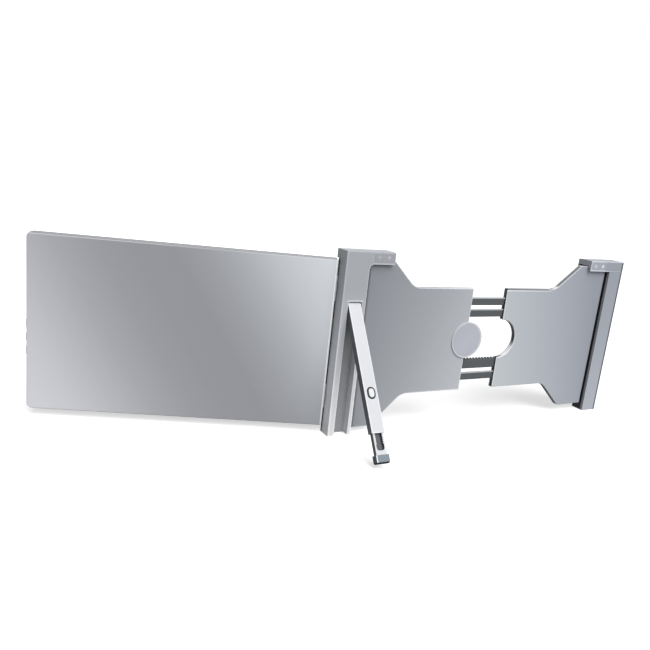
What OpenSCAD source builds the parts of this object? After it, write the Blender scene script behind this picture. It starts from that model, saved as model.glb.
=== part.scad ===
// A single-screen extender for a notebook computer. Two columns clamp the sides of the lid, joined by
// two plates that telescope on four flat rails. A rack on one rail turns a drag pinion that holds the
// set width. The left column carries a hinged display and a telescoping kickstand.
// Millimetres, +Z up, +X to the right as seen from behind, +Y towards the person at the keyboard.
// The origin is the axis of the round badge, on the plane where the pads touch the lid.

/* [Columns] */
// Height of both columns
column_h = 210.6; // [200:0.1:230]
// Share of the column height that stands above the badge axis
column_top_share = 0.491; // [0.48:0.001:0.52]
// Depth of the columns, rear face to user side
column_d = 18; // [17:0.1:22]
// Width of the left column
left_column_w = 30; // [28:0.1:36]
// Width of the right column
right_column_w = 24.8; // [20:0.1:34]
// How far the rear faces of the columns stand behind the plates
column_step = 4.5; // [3:0.1:6]
// Wall of the hollow columns
column_wall = 2.4; // [1.6:0.1:3]
// Thickness of the covers on the user side of the columns
column_cover_t = 2; // [1.5:0.1:3]
// Rounding of the upright edges
column_edge_r = 1.2; // [0.5:0.1:2]

/* [Arms and hooks] */
// Length of the left arm beyond its column
left_arm_l = 31.3; // [24:0.1:40]
// Length of the right arm beyond its column
right_arm_l = 37.1; // [24:0.1:45]
// Height of the arms on their rear face
arm_h = 13.5; // [12:0.1:18]
// Thickness of the hook above the lid
hook_roof_t = 6.9; // [5:0.1:8]
// Room for the lid between the pads and the hook's lip
hook_slot_w = 8.2; // [6:0.1:10]
// Thickness of the silicone in the hooks
hook_pad_t = 0.7; // [0.5:0.1:1]
// Thickness of the hook's lip
hook_lip_t = 1.5; // [1.2:0.1:2.5]
// How far the lip reaches down below the roof of the hook
hook_lip_h = 7; // [5:0.1:8]
// Rounding in the corner between the left arm and its column
arm_corner_r = 5; // [2:0.1:6]

/* [Telescoping plates] */
// Gap between the two plates as the frame stands open
plate_gap = 52.9; // [40:0.1:60]
// Distance from the left column to the badge axis
left_plate_l = 151.4; // [140:0.1:165]
// Length of the right plate
right_plate_l = 165.1; // [155:0.1:175]
// Groove between the right plate and the right column
plate_groove = 3.9; // [2:0.1:5]
// Half the height of the narrow parts of the plates
plate_half_h = 64; // [60:0.1:70]
// Thickness of the plates with their pads
plate_d = 7; // [6.8:0.1:9]
// Front skin of the plates
plate_skin_t = 2; // [1.6:0.1:2.4]
// Side walls of the plate covers
plate_wall = 1.6; // [1.2:0.1:2.4]
// Base sheet of the plates
plate_base_t = 1.2; // [1:0.1:1.4]
// Thickness of the pads that lie on the lid
lid_pad_t = 0.8; // [0.5:0.1:1]
// Share of the left plate's length with straight narrow edges
left_flat_share = 0.565; // [0.54:0.005:0.6]
// Share of the right plate's length with a straight upper edge
right_flat_share = 0.49; // [0.46:0.005:0.52]
// Share of the right plate's length with a straight lower edge
right_low_share = 0.53; // [0.5:0.005:0.56]
// Slope of the plates' slanted edges
slope_deg = 43.5; // [38:0.5:50]
// Slope of the right plate's upper slanted edge
right_slope_deg = 38.5; // [36:0.5:46]
// Height of the left plate's lower edge above the column foot
left_plate_rise = 6.2; // [4:0.1:12]
// Height of the right plate's lower edge above the column foot
right_plate_rise = 9.9; // [4:0.1:12]
// Rounding where the straight and the slanted edges meet
slope_in_r = 21; // [8:0.5:24]
// Rounding of the outer corners of the slanted edges
slope_out_r = 4; // [2:0.5:8]
// Bevel round the rear face of the plates
plate_bevel = 0.6; // [0.3:0.1:1]

/* [Badge] */
// Outer radius of the badge ring
badge_r = 22.5; // [18:0.1:23]
// Width of the badge ring
badge_ring_w = 1.1; // [0.8:0.1:2]
// Thickness of the badge disc
badge_t = 1.3; // [1:0.1:2]
// Clearance between the badge and the half-round notch that takes it
notch_clearance = 2; // [1.5:0.1:2.6]

/* [Rails, rack and pinion] */
// Width of the flat rails
rail_w = 9.6; // [8:0.1:9.8]
// Thickness of the flat rails
rail_t = 2.4; // [2:0.1:2.5]
// Height of the outer rails' centre lines from the badge axis
outer_rail_z = 47.6; // [47:0.1:49]
// Height of the inner rail's centre line from the badge axis
inner_rail_z = 33; // [32.8:0.1:33.4]
// Module of the rack and the pinion
gear_module = 1.5; // [1.4:0.05:1.5]
// Teeth on the pinion
pinion_teeth = 16; // [14:1:16]
// Height of the rack's pitch line below the badge axis
rack_pitch_z = 25.4; // [25:0.1:25.6]
// Height of the plain strip that carries the rack's teeth
rack_body_h = 10.6; // [9:0.1:10.8]
// Radius of the pinion's axle
axle_r = 2; // [1.5:0.1:3]
// Travel of the right column inwards from the open stand
travel_in = 52; // [30:0.5:52]
// Travel of the right column outwards from the open stand
travel_out = 30; // [10:0.5:30]

/* [Display] */
// Width of the display housing
screen_w = 321.5; // [300:0.5:340]
// Height of the display housing
screen_h = 191.3; // [180:0.1:196]
// Thickness of the display housing
screen_t = 7; // [6.8:0.1:9]
// Rounding of the housing's free corners
screen_r = 6; // [3:0.1:10]
// Rounding of the housing's corners at the hinges
screen_hinge_r = 2.4; // [1.5:0.1:6]
// Height of the column tops above the display's upper edge
screen_drop = 10.3; // [10:0.1:14]
// Width of the bezel at the sides of the picture
bezel_side_w = 6.05; // [5.5:0.05:12]
// Height of the bezel above the picture
bezel_top_h = 6; // [4:0.1:10]
// Height of the bezel below the picture
bezel_foot_h = 11.3; // [8:0.1:16]
// Wall of the back cover
screen_skin_t = 1; // [0.8:0.1:1.4]
// Thickness of the front bezel
bezel_t = 1.2; // [1:0.1:1.5]
// Angle of the display from straight out to the side
screen_angle = 21.2; // [0:0.1:60]
// Bevel round the back of the display
screen_bevel = 0.9; // [0.4:0.1:1]

/* [Display hinges] */
// Radius of the hinge barrels
barrel_r = 2.9; // [2.6:0.1:3.2]
// Radius of the hinge pins
hinge_pin_r = 1.2; // [1:0.1:1.5]
// Length of each knuckle that belongs to the column
column_knuckle_h = 8; // [6:0.1:12]
// Length of each knuckle that belongs to the display
screen_knuckle_h = 11; // [8:0.1:16]
// Distance of the hinges' middles from the ends of the display
hinge_end = 33.6; // [24:0.1:50]
// Thickness of the hinge leaves
leaf_t = 1.8; // [1.4:0.1:2]

/* [Kickstand] */
// Width of the kickstand leg
leg_w = 15.8; // [14:0.1:16]
// Thickness of the kickstand leg
leg_t = 8.6; // [8:0.1:9]
// Length of the outer leg
leg_l = 145.4; // [132:0.1:147]
// Wall of the outer leg
leg_wall = 1.2; // [1:0.1:1.5]
// Angle of the open kickstand
leg_angle = 33.5; // [0:0.1:60]
// Play between the leg and the sides of its channel
leg_side_play = 0.8; // [0.6:0.1:1]
// Play of the folded leg in the depth of its channel
leg_depth_play = 0.3; // [0.2:0.1:0.4]
// Distance from the column's outer side to the channel
channel_offset = 7.7; // [5:0.1:8]
// Gap between the top of the leg and the end of its channel
channel_end_gap = 1; // [0.6:0.1:2]
// Height of the channel's closed end above the badge axis
channel_top = 48.5; // [44:0.1:52]
// Length of the inner leg that shows
inner_out_l = 22.3; // [21.5:0.1:24]
// Length of the inner leg that stays inside the outer one
inner_in_l = 75; // [70:0.1:78]
// Height of the foot block
foot_h = 7.4; // [6:0.1:12]
// Pitch of the teeth in the inner leg's slot
latch_pitch = 2.4; // [2:0.1:3]
// Depth of the teeth in the inner leg's slot
latch_depth = 0.9; // [0.6:0.1:1.1]
// Distance from the leg's top to the middle of the release button
button_from_top = 103.3; // [99:0.1:105]
// Length of the release button
button_l = 9.4; // [8:0.1:11]
// Width of the release button
button_w = 6.2; // [5:0.1:6.3]
// Width of the dark ring round the release button
button_ring_w = 1.5; // [1:0.1:2]
// Travel of the release button
button_travel = 1; // [0.6:0.1:1.1]

/* [Hidden] */
$fn = 48;
// Every cut runs past the solid by this much
overrun = 1;
// Running fit between a pin and its bore
running_fit = 0.05;
// Gap between pieces that slide past each other
slide_gap = 0.3;
// Points on a quarter of a rounded corner
quarter_steps = 6;

// Depths of the plates' layers
plate_face_y = -plate_d;
skin_in_y = plate_face_y + plate_skin_t;
base_back_y = -lid_pad_t;
base_in_y = base_back_y - plate_base_t;
rail_y0 = (skin_in_y + base_in_y - rail_t) / 2;
rail_y1 = rail_y0 + rail_t;
rear_y = plate_face_y - column_step;
user_y = rear_y + column_d;
cover_y = user_y - column_cover_t;

// Columns and arms
column_top = column_h * column_top_share;
column_foot = column_top - column_h;
left_in_x = -left_plate_l;
left_out_x = left_in_x - left_column_w;
right_in_x = plate_gap + right_plate_l + plate_groove;
right_out_x = right_in_x + right_column_w;
left_arm_x = left_in_x + left_arm_l;
right_arm_x = right_in_x - right_arm_l;
arm_foot = column_top - arm_h;
roof_z = column_top - hook_roof_t;
lip_z = roof_z - hook_lip_h;
lip_in_y = hook_slot_w + hook_pad_t;
hook_back_y = lip_in_y + hook_lip_t;
arm_wall_gap = 0.1;
arm_toe_h = 4.4;
arm_plate_t = 0.4;
arm_plate_margin = 1.6;
arm_plate_l = 27.8;
arm_plate_end = 0.5;
edge_r = 1;
seam = 0.25;

// Plates
plate_roof_gap = 0.9;
plate_top = roof_z - plate_roof_gap;
badge_tongue_gap = 1;
tongue_r = badge_r - badge_tongue_gap;
notch_r = badge_r + notch_clearance;
rail_window_gap = 0.6;
boss_r = 3;
screw_shank_r = 0.9;
screw_head_r = 1.8;
screw_head_h = 0.9;
screw_play = 0.1;
boss_edge = 5.4;
boss_column_edge = 14;
boss_tab_edge = 11.6;
boss_start = 18;

// Rails
rail_clearance = 0.1;
guide_start = 2;
guide_l = 12;
guide_h = 2.9;
rack_guide_l = 6;
stop_l = 6;
stop_h = 2.4;
stop_gap = 0.5;
rail_seat_start = 34;
rail_seat_l = 32;
rail_seat_screws = [8, 24];
rack_lead = 66;
rail_lower_z = -outer_rail_z;
pitch = PI * gear_module;
addendum_share = 0.85;
dedendum_share = 1.15;
addendum = gear_module * addendum_share;
dedendum = gear_module * dedendum_share;
pressure_deg = 20;
backlash = 0.12;
pinion_r = gear_module * pinion_teeth / 2;
pinion_x = -19;
pinion_z = pinion_r - rack_pitch_z;
pinion_hub_r = 4.6;
rack_top_z = -rack_pitch_z - dedendum;
rack_low_z = rack_top_z - rack_body_h;
rail_window_low = min(rack_pitch_z - addendum, inner_rail_z - rail_w / 2) - rail_window_gap;
rail_window_high = outer_rail_z + rail_w / 2 + rail_window_gap;
flank_steps = 4;

// Display
pivot_inset = 0.8;
screen_edge_gap = 0.4;
pivot_x = left_out_x + pivot_inset;
screen_edge = pivot_inset + screen_edge_gap;
screen_set_back = 0.8;
pivot_y = user_y + screen_set_back;
screen_front_y = -screen_set_back;
screen_rear_y = screen_front_y - screen_t;
screen_top = column_top - screen_drop;
screen_foot = screen_top - screen_h;
screen_wall = 1.2;
glass_t = 0.7;
glass_margin = 1.2;
glass_recess = 0.1;
lcd_margin = 0.9;
lcd_t = 1.9;
lcd_y1 = screen_front_y - glass_recess - glass_t;
lcd_y0 = lcd_y1 - lcd_t;
board_w = 16;
board_h = 110;
board_t = 1;
board_gap = 0.2;
board_y0 = screen_rear_y + screen_skin_t + board_gap;
socket_h = 3.1;
usb_w = 8.9;
usb_depth = 7;
hdmi_w = 11.2;
hdmi_h = 3.1;
hdmi_depth = 7.4;
first_port_share = 0.0764;
port_pitch_share = 0.1455;
first_key_share = 0.553;
key_pitch_share = 0.1364;
port_play = 0.1;
shell_t = 0.35;
tongue_t = 0.7;
key_l = 9;
key_w = 2.4;
key_proud = 0.7;
key_travel = 0.6;
key_flange = 0.8;
key_flange_t = 0.6;
key_play = 0.15;
board_corner_share = 0.6;
switch_depth = 3.4;
switch_w = 5;
switch_h = 1.8;
key_count = 3;

// Hinges
barrel_gap = 0.3;
barrel_h = 2 * column_knuckle_h + screen_knuckle_h + 2 * barrel_gap;
hinge_zs = [screen_top - hinge_end, max(screen_foot, column_foot) + hinge_end];
barrel_clearance = 0.35;
column_leaf_l = 15;
screen_leaf_l = 18;
leaf_bridge_w = 3.2;
leaf_play = 0.1;
leaf_screw_l = 5.5;
stud_r = 2.2;

// Kickstand
channel_w = leg_w + 2 * leg_side_play;
channel_x0 = left_out_x + channel_offset;
channel_x1 = channel_x0 + channel_w;
leg_x = (channel_x0 + channel_x1) / 2;
channel_d = leg_t + 2 * leg_depth_play;
leg_pivot_y = rear_y + leg_depth_play + leg_t / 2;
leg_pivot_z = channel_top - channel_end_gap - leg_t / 2;
channel_r = 3;
leg_edge_r = 0.8;
leg_pin_r = 1.6;
leg_pin_grip = 3.4;
washer_gap = 0.05;
washer_r = channel_end_gap + leg_t / 2 - channel_r - washer_gap;
leg_foot = leg_t / 2 - leg_l;
inner_play = 0.25;
inner_w = leg_w - 2 * leg_wall - 2 * inner_play;
inner_t = leg_t - 2 * leg_wall - 2 * inner_play;
inner_top = leg_foot + inner_in_l;
inner_foot = leg_foot - inner_out_l;
inner_travel_in = 21;
inner_travel_gap = 1.5;
slot_w = 9.2;
slot_depth = 2.9;
slot_end = 6;
slot_r = 3;
teeth_end = 4;
button_z = leg_t / 2 - button_from_top;
button_proud = 0.8;
button_cap_gap = 0.15;
ring_proud = 0.25;
ring_t = 0.8;
pawl_h = 1.6;
pawl_l = 7;
pawl_nose_gap = 0.25;
pawl_nose_r = 0.8;
leaf_spring_t = 0.3;
leaf_spring_l = 20;
leaf_spring_w = 4;
sole_h = 1.6;
sole_inset = 0.6;

// Colours, as the finishes look in plain light
satin_grey = [0.66, 0.68, 0.71];
column_grey = [0.65, 0.665, 0.69];
inlay_grey = [0.6, 0.62, 0.65];
rail_grey = [0.37, 0.385, 0.4];
badge_grey = [0.7, 0.71, 0.75];
ring_silver = [0.82, 0.83, 0.84];
leg_silver = [0.91, 0.915, 0.93];
foot_grey = [0.55, 0.59, 0.63];
silicone_black = [0.09, 0.09, 0.1];
steel = [0.6, 0.6, 0.62];
board_green = [0.05, 0.22, 0.14];
bezel_black = [0.03, 0.03, 0.035];
brass = [0.72, 0.6, 0.3];

// The unit vector from one point to another
function toward(a, b) = (b - a) / norm(b - a);

// The arc that rounds corner b, between a and c, with as many points as n asks for
function corner_arc(a, b, c, r, n) =
    let (u = toward(b, a))
    let (v = toward(b, c))
    let (half = acos(max(-1, min(1, u * v))) / 2)
    let (middle = b + toward([0, 0], u + v) * r / sin(half))
    let (p = b + u * r / tan(half))
    let (q = b + v * r / tan(half))
    let (start = atan2(p[1] - middle[1], p[0] - middle[0]))
    let (raw = atan2(q[1] - middle[1], q[0] - middle[0]) - start)
    let (sweep = raw > 180 ? raw - 360 : raw < -180 ? raw + 360 : raw)
    [for (i = [0:n]) middle + r * [cos(start + sweep * i / n), sin(start + sweep * i / n)]];

// A closed outline with each corner rounded by its own radius
function rounded(points, radii) =
    let (n = len(points))
    [
        for (i = [0:n - 1])
            each radii[i] > 0
                ? corner_arc(points[(i + n - 1) % n], points[i], points[(i + 1) % n], radii[i], quarter_steps)
                : [points[i]]
    ];

// A rounded rectangle from its low corner to its high corner
function rounded_box(low, high, r) =
    rounded([low, [high[0], low[1]], high, [low[0], high[1]]], [r, r, r, r]);

// The outline of a plate without its tongue or notch, from its inner edge at 0 outwards, drawn in
// by inset. It starts in the middle of the outer edge, from where every other corner can be seen.
// form holds the straight lengths above and below, the outer edge, the low edge and the top slope.
function plate_ring(form, inset) =
    let (outer_l = form[2])
    let (low_z = form[3])
    let (top_end = form[0] + inset * tan(form[4] / 2))
    let (low_end = form[1] + inset * tan(slope_deg / 2))
    let (run_top = (plate_top - plate_half_h) / tan(form[4]))
    let (run_low = (low_z - plate_half_h) / tan(slope_deg))
    let (high = plate_half_h - inset)
    let (in_r = slope_in_r + inset)
    let (out_r = slope_out_r - inset)
    rounded(
        [
            [outer_l, 0],
            [outer_l, plate_top - inset],
            [top_end + run_top, plate_top - inset],
            [top_end, high],
            [inset, high],
            [inset, -high],
            [low_end, -high],
            [low_end + run_low, inset - low_z],
            [outer_l, inset - low_z]
        ],
        [0, 0, out_r, in_r, 0, 0, in_r, out_r, 0]
    );

// Upright sheet: an XZ outline between two depths
module sheet(y0, y1) {
    translate([0, y1, 0])
        rotate([90, 0, 0])
            linear_extrude(height = y1 - y0)
                children();
}

// Bar along X: a YZ outline between two places
module bar(x0, x1) {
    translate([x0, 0, 0])
        rotate([90, 0, 90])
            linear_extrude(height = x1 - x0)
                children();
}

// Block between two corners
module block(low, high) {
    translate(low)
        cube(high - low);
}

// Cylinder along X, from x0 to x1
module rod_x(x0, x1, r) {
    translate([x0, 0, 0])
        rotate([0, 90, 0])
            cylinder(h = x1 - x0, r = r);
}

// Cylinder along Y, from y0 to y1
module rod_y(y0, y1, r) {
    translate([0, y1, 0])
        rotate([90, 0, 0])
            cylinder(h = y1 - y0, r = r);
}

// Cone along Y, with radius r0 at y0 and r1 at y1
module cone_y(y0, y1, r0, r1) {
    translate([0, y1, 0])
        rotate([90, 0, 0])
            cylinder(h = y1 - y0, r1 = r1, r2 = r0);
}

// Solid between two outlines with the same number of points, at two depths
module bevel_layer(ring_a, y_a, ring_b, y_b) {
    n = len(ring_a);
    points = concat(
        [for (p = ring_a) [p[0], y_a, p[1]]],
        [for (p = ring_b) [p[0], y_b, p[1]]]
    );
    sides = [
        for (i = [0:n - 1])
            let (next = (i + 1) % n)
            each [[i, next, n + next], [i, n + next, n + i]]
    ];
    polyhedron(points, concat([[for (i = [n:-1:1]) i % n]], sides, [[for (i = [0:n - 1]) n + i]]));
}

// Countersunk screw whose head is flush with the depth y1
module screw(y1, y0) {
    cone_y(y1 - screw_head_h, y1, screw_shank_r, screw_head_r);
    rod_y(y0, y1 - screw_head_h, screw_shank_r);
}

// Hole for a countersunk screw
module screw_hole(y1, y0) {
    cone_y(y1 - screw_head_h, y1 + screw_play, screw_shank_r + screw_play, screw_head_r + screw_play);
    rod_y(y0, y1, screw_shank_r + screw_play);
}

// Where the screws go that hold a plate's cover to its base
function plate_screw_places(form) = [
    [form[2] - boss_column_edge, 0],
    [form[2] - boss_column_edge, plate_top - boss_tab_edge],
    [form[2] - boss_column_edge, boss_tab_edge - form[3]],
    for (s = [-1, 1])
        each [
            [boss_start, s * (plate_half_h - boss_edge)],
            [min(form[0], form[1]) - boss_edge, s * (plate_half_h - boss_edge)]
        ]
];

// Children at each screw of a plate
module at_plate_screws(form) {
    for (p = plate_screw_places(form))
        translate([p[0], 0, p[1]])
            children();
}

// Sheet in the outline of a plate, with its round tongue or notch.
// side is 1 for the plate with the tongue and -1 for the plate with the notch.
module plate_sheet(y0, y1, ring, r, side) {
    if (side > 0) {
        sheet(y0, y1)
            polygon(ring);
        rod_y(y0, y1, r);
    } else {
        difference() {
            sheet(y0, y1)
                polygon(ring);
            rod_y(y0 - overrun, y1 + overrun, r);
        }
    }
}

// Bevelled rear layer of a plate
module plate_bevel_layer(form, r, side) {
    y1 = plate_face_y + plate_bevel;
    difference() {
        bevel_layer(
            plate_ring(form, plate_bevel),
            plate_face_y,
            plate_ring(form, 0),
            y1
        );
        if (side < 0) {
            rod_y(plate_face_y - overrun, y1 + overrun, r);
            cone_y(plate_face_y - overrun, y1, r + plate_bevel + overrun, r);
        }
    }
    if (side > 0)
        cone_y(plate_face_y, y1, r - plate_bevel, r);
}

// Cover of a plate: a bevelled skin with side walls, open at the inner edge where the rails pass
module plate_cover(form, r, side) {
    difference() {
        union() {
            plate_bevel_layer(form, r, side);
            plate_sheet(plate_face_y + plate_bevel, base_in_y, plate_ring(form, 0), r, side);
        }
        difference() {
            plate_sheet(
                skin_in_y,
                base_in_y + overrun,
                plate_ring(form - [0, 0, plate_wall, 0, 0], plate_wall),
                r - side * plate_wall,
                side
            );
            at_plate_screws(form)
                rod_y(skin_in_y - overrun, base_in_y + overrun, boss_r);
        }
        for (s = [-1, 1])
            block(
                [-overrun, skin_in_y, min(s * rail_window_low, s * rail_window_high)],
                [plate_wall + overrun, base_in_y + overrun, max(s * rail_window_low, s * rail_window_high)]
            );
        at_plate_screws(form)
            rod_y(skin_in_y, base_in_y + overrun, screw_shank_r + screw_play);
    }
}

// Base sheet of a plate with the lands that the fixed rail ends lie on
module plate_base(form, r, side, seats) {
    difference() {
        union() {
            plate_sheet(base_in_y, base_back_y, plate_ring(form, 0), r, side);
            for (z = seats)
                block(
                    [rail_seat_start, rail_y1, z - rail_w / 2],
                    [rail_seat_start + rail_seat_l, base_in_y, z + rail_w / 2]
                );
        }
        at_plate_screws(form)
            screw_hole(base_back_y, base_in_y - overrun);
        for (z = seats)
            for (u = rail_seat_screws)
                translate([rail_seat_start + u, 0, z])
                    screw_hole(base_back_y, rail_y1 - overrun);
    }
}

// Screws of a plate, into the bosses of its cover
module plate_screws(form) {
    at_plate_screws(form)
        screw(base_back_y, skin_in_y);
}

// Screws that hold the fixed ends of two rails
module rail_screws(seats) {
    for (z = seats)
        for (u = rail_seat_screws)
            translate([rail_seat_start + u, 0, z])
                screw(base_back_y, rail_y0);
}

// Left half of the frame, drawn from the inner edge outwards
module on_left() {
    mirror([1, 0, 0])
        children();
}

// Right half of the frame, drawn from the inner edge outwards
module on_right() {
    translate([plate_gap, 0, 0])
        children();
}

left_low = -column_foot - left_plate_rise;
right_low = -column_foot - right_plate_rise;
left_flat_l = left_plate_l * left_flat_share;
left_form = [left_flat_l, left_flat_l, left_plate_l, left_low, slope_deg];
right_form = [
    right_plate_l * right_flat_share,
    right_plate_l * right_low_share,
    right_plate_l,
    right_low,
    right_slope_deg
];
rack_mid_z = (rack_top_z + rack_low_z) / 2;
outer_seats = [outer_rail_z, rail_lower_z];
inner_seats = [inner_rail_z, rack_mid_z];

module left_plate_cover() {
    color(satin_grey)
        on_left()
            plate_cover(left_form, tongue_r, 1);
}

module left_plate_base() {
    color(steel)
        difference() {
            union() {
                on_left()
                    plate_base(left_form, tongue_r, 1, outer_seats);
                translate([pinion_x, 0, pinion_z])
                    rod_y(rail_y1, base_in_y, pinion_hub_r);
            }
            translate([pinion_x, 0, pinion_z])
                rod_y(rail_y1 - overrun, base_back_y + overrun, axle_r);
        }
}

module right_plate_cover() {
    color(satin_grey)
        on_right()
            plate_cover(right_form, notch_r, -1);
}

module right_plate_base() {
    color(steel)
        on_right() {
            plate_base(right_form, notch_r, -1, inner_seats);
            block(
                [right_plate_l, base_in_y, -right_low],
                [right_plate_l + plate_groove, base_back_y, plate_top]
            );
        }
}

module left_base_screws() {
    color(steel)
        on_left()
            plate_screws(left_form);
}

module right_base_screws() {
    color(steel)
        on_right()
            plate_screws(right_form);
}

module left_rail_screws() {
    color(steel)
        on_left()
            rail_screws(outer_seats);
}

module right_rail_screws() {
    color(steel)
        on_right()
            rail_screws(inner_seats);
}

// Pads on the back of a plate, clear of the screws
pad_r = 18;
pad_strip_w = 9;
pad_strip_l = 60;
pad_strip_u = 22;
pad_side_w = 8;
pad_side_h = 50;
pad_side_z = 12;

module lid_pads(outer_l) {
    for (s = [-1, 1]) {
        sheet(base_back_y, 0)
            translate([pad_strip_u, s * (plate_half_h - boss_edge - pad_strip_w - pad_strip_w / 2)])
                polygon(rounded_box([0, -pad_strip_w / 2], [pad_strip_l, pad_strip_w / 2], edge_r));
        sheet(base_back_y, 0)
            translate([outer_l - boss_column_edge, s * (pad_side_z + pad_side_h / 2)])
                polygon(rounded_box([-pad_side_w / 2, -pad_side_h / 2], [pad_side_w / 2, pad_side_h / 2],
                                    edge_r));
    }
}

module left_lid_pads() {
    color(silicone_black) {
        on_left()
            lid_pads(left_plate_l);
        rod_y(base_back_y, 0, pad_r);
    }
}

module right_lid_pads() {
    color(silicone_black)
        on_right()
            lid_pads(right_plate_l);
}

module badge_disc() {
    color(badge_grey)
        rod_y(plate_face_y - badge_t, plate_face_y, badge_r - badge_ring_w - running_fit);
}

module badge_ring() {
    color(ring_silver)
        difference() {
            rod_y(plate_face_y - badge_t - running_fit, plate_face_y, badge_r);
            rod_y(plate_face_y - badge_t - overrun, plate_face_y + overrun, badge_r - badge_ring_w);
        }
}

// Outlines of one involute tooth of the pinion, root to root
base_circle_r = pinion_r * cos(pressure_deg);
function inv_deg(r) =
    r <= base_circle_r ? 0 : let (t = acos(base_circle_r / r)) tan(t) * 180 / PI - t;
tooth_half_deg = 90 / pinion_teeth + inv_deg(pinion_r) - backlash / pinion_r * 90 / PI;
function tooth_radius(i) = base_circle_r + (pinion_r + addendum - base_circle_r) * i / flank_steps;
function polar(r, a) = [r * cos(a), r * sin(a)];
function pinion_tooth(a) = concat(
    [polar(pinion_r - dedendum, a - tooth_half_deg)],
    [for (i = [0:flank_steps]) polar(tooth_radius(i), a - tooth_half_deg + inv_deg(tooth_radius(i)))],
    [for (i = [flank_steps:-1:0]) polar(tooth_radius(i), a + tooth_half_deg - inv_deg(tooth_radius(i)))],
    [polar(pinion_r - dedendum, a + tooth_half_deg)]
);

// The pinion stands with a tooth space straight down, over a tooth of the rack
module drag_pinion() {
    color(steel)
        translate([pinion_x, 0, pinion_z])
            difference() {
                sheet(rail_y0, rail_y1)
                    polygon([
                        for (k = [0:pinion_teeth - 1])
                            each pinion_tooth(270 + (k + 1 / 2) * 360 / pinion_teeth)
                    ]);
                rod_y(rail_y0 - overrun, rail_y1 + overrun, axle_r + running_fit);
            }
}

module pinion_axle() {
    color(steel)
        translate([pinion_x, 0, pinion_z])
            rod_y(skin_in_y, base_back_y, axle_r);
}

module brake_washer() {
    color(brass)
        translate([pinion_x, 0, pinion_z])
            difference() {
                rod_y(skin_in_y, rail_y0, pinion_hub_r);
                rod_y(skin_in_y - overrun, rail_y0 + overrun, axle_r + running_fit);
            }
}

// A flat rail with its end stop, from its free end to its fixed end.
// stop_side is -1 where the stop points down and 1 where it points up.
module flat_rail(x_free, x_fixed, z, stop_side) {
    way = x_fixed > x_free ? 1 : -1;
    sheet(rail_y0, rail_y1) {
        translate([min(x_free, x_fixed), z - rail_w / 2])
            square([abs(x_fixed - x_free), rail_w]);
        translate([min(x_free, x_free + way * stop_l), stop_side > 0 ? z : z - rail_w / 2 - stop_h])
            square([stop_l, rail_w / 2 + stop_h]);
    }
}

// Free ends of the rails: their stops reach the guides at the end of the outward travel
stop_reach = guide_start + guide_l + travel_out + stop_gap + stop_l;
fixed_reach = rail_seat_start + rail_seat_l;

module outer_rail(s) {
    difference() {
        flat_rail(plate_gap + stop_reach, -fixed_reach, s * outer_rail_z, s);
        rail_screw_holes(-1, s * outer_rail_z, 0);
    }
}

// Bores for the screws in the fixed end of a rail
module rail_screw_holes(way, z, x) {
    for (u = rail_seat_screws)
        translate([x + way * (rail_seat_start + u), 0, z])
            rod_y(rail_y0 - overrun, rail_y1 + overrun, screw_shank_r + screw_play);
}

module upper_outer_rail() {
    color(rail_grey)
        outer_rail(1);
}

module lower_outer_rail() {
    color(rail_grey)
        outer_rail(-1);
}

module upper_inner_rail() {
    color(rail_grey)
        difference() {
            flat_rail(-stop_reach, plate_gap + fixed_reach, inner_rail_z, -1);
            rail_screw_holes(1, inner_rail_z, plate_gap);
        }
}

// The rack: straight-sided teeth whose middle one stands under the pinion
rack_first = -floor((rack_lead + pinion_x) / pitch);
rack_last = floor((plate_gap + plate_wall - pinion_x - pitch / 2) / pitch);
rack_flat = pitch / 4 - backlash / 2 - addendum * tan(pressure_deg);
rack_foot = pitch / 4 - backlash / 2 + dedendum * tan(pressure_deg);

module rack_rail() {
    color(rail_grey)
        difference() {
            sheet(rail_y0, rail_y1)
                polygon(concat(
                    [
                        for (k = [rack_first:rack_last])
                            each [
                                [pinion_x + k * pitch - rack_foot, rack_top_z],
                                [pinion_x + k * pitch - rack_flat, rack_top_z + addendum + dedendum],
                                [pinion_x + k * pitch + rack_flat, rack_top_z + addendum + dedendum],
                                [pinion_x + k * pitch + rack_foot, rack_top_z]
                            ]
                    ],
                    [
                        [plate_gap + fixed_reach, rack_top_z],
                        [plate_gap + fixed_reach, rack_low_z],
                        [-rack_lead, rack_low_z],
                        [-rack_lead, rack_top_z]
                    ]
                ));
            rail_screw_holes(1, rack_mid_z, plate_gap);
        }
}

// Plastic strip that guides the edge of a rail, from the inner edge of its plate
module guide_strip(length, z0, z1) {
    block([guide_start, skin_in_y, z0], [guide_start + length, base_in_y, z1]);
}

module left_rail_guides() {
    color(silicone_black)
        on_left() {
            guide_strip(guide_l, inner_rail_z - rail_w / 2 - rail_clearance - guide_h,
                        inner_rail_z - rail_w / 2 - rail_clearance);
            guide_strip(guide_l, inner_rail_z + rail_w / 2 + rail_clearance,
                        outer_rail_z - rail_w / 2 - rail_clearance);
            guide_strip(guide_l, rail_lower_z + rail_w / 2 + rail_clearance, rack_low_z - rail_clearance);
        }
}

module right_rail_guides() {
    color(silicone_black)
        on_right() {
            guide_strip(guide_l, outer_rail_z + rail_w / 2 + rail_clearance,
                        outer_rail_z + rail_w / 2 + rail_clearance + guide_h);
            guide_strip(guide_l, inner_rail_z + rail_w / 2 + rail_clearance,
                        outer_rail_z - rail_w / 2 - rail_clearance);
            guide_strip(guide_l, rail_lower_z - rail_w / 2 - rail_clearance - guide_h,
                        rail_lower_z - rail_w / 2 - rail_clearance);
            guide_strip(guide_l, rail_lower_z + rail_w / 2 + rail_clearance, rack_low_z - rail_clearance);
        }
}

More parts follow.
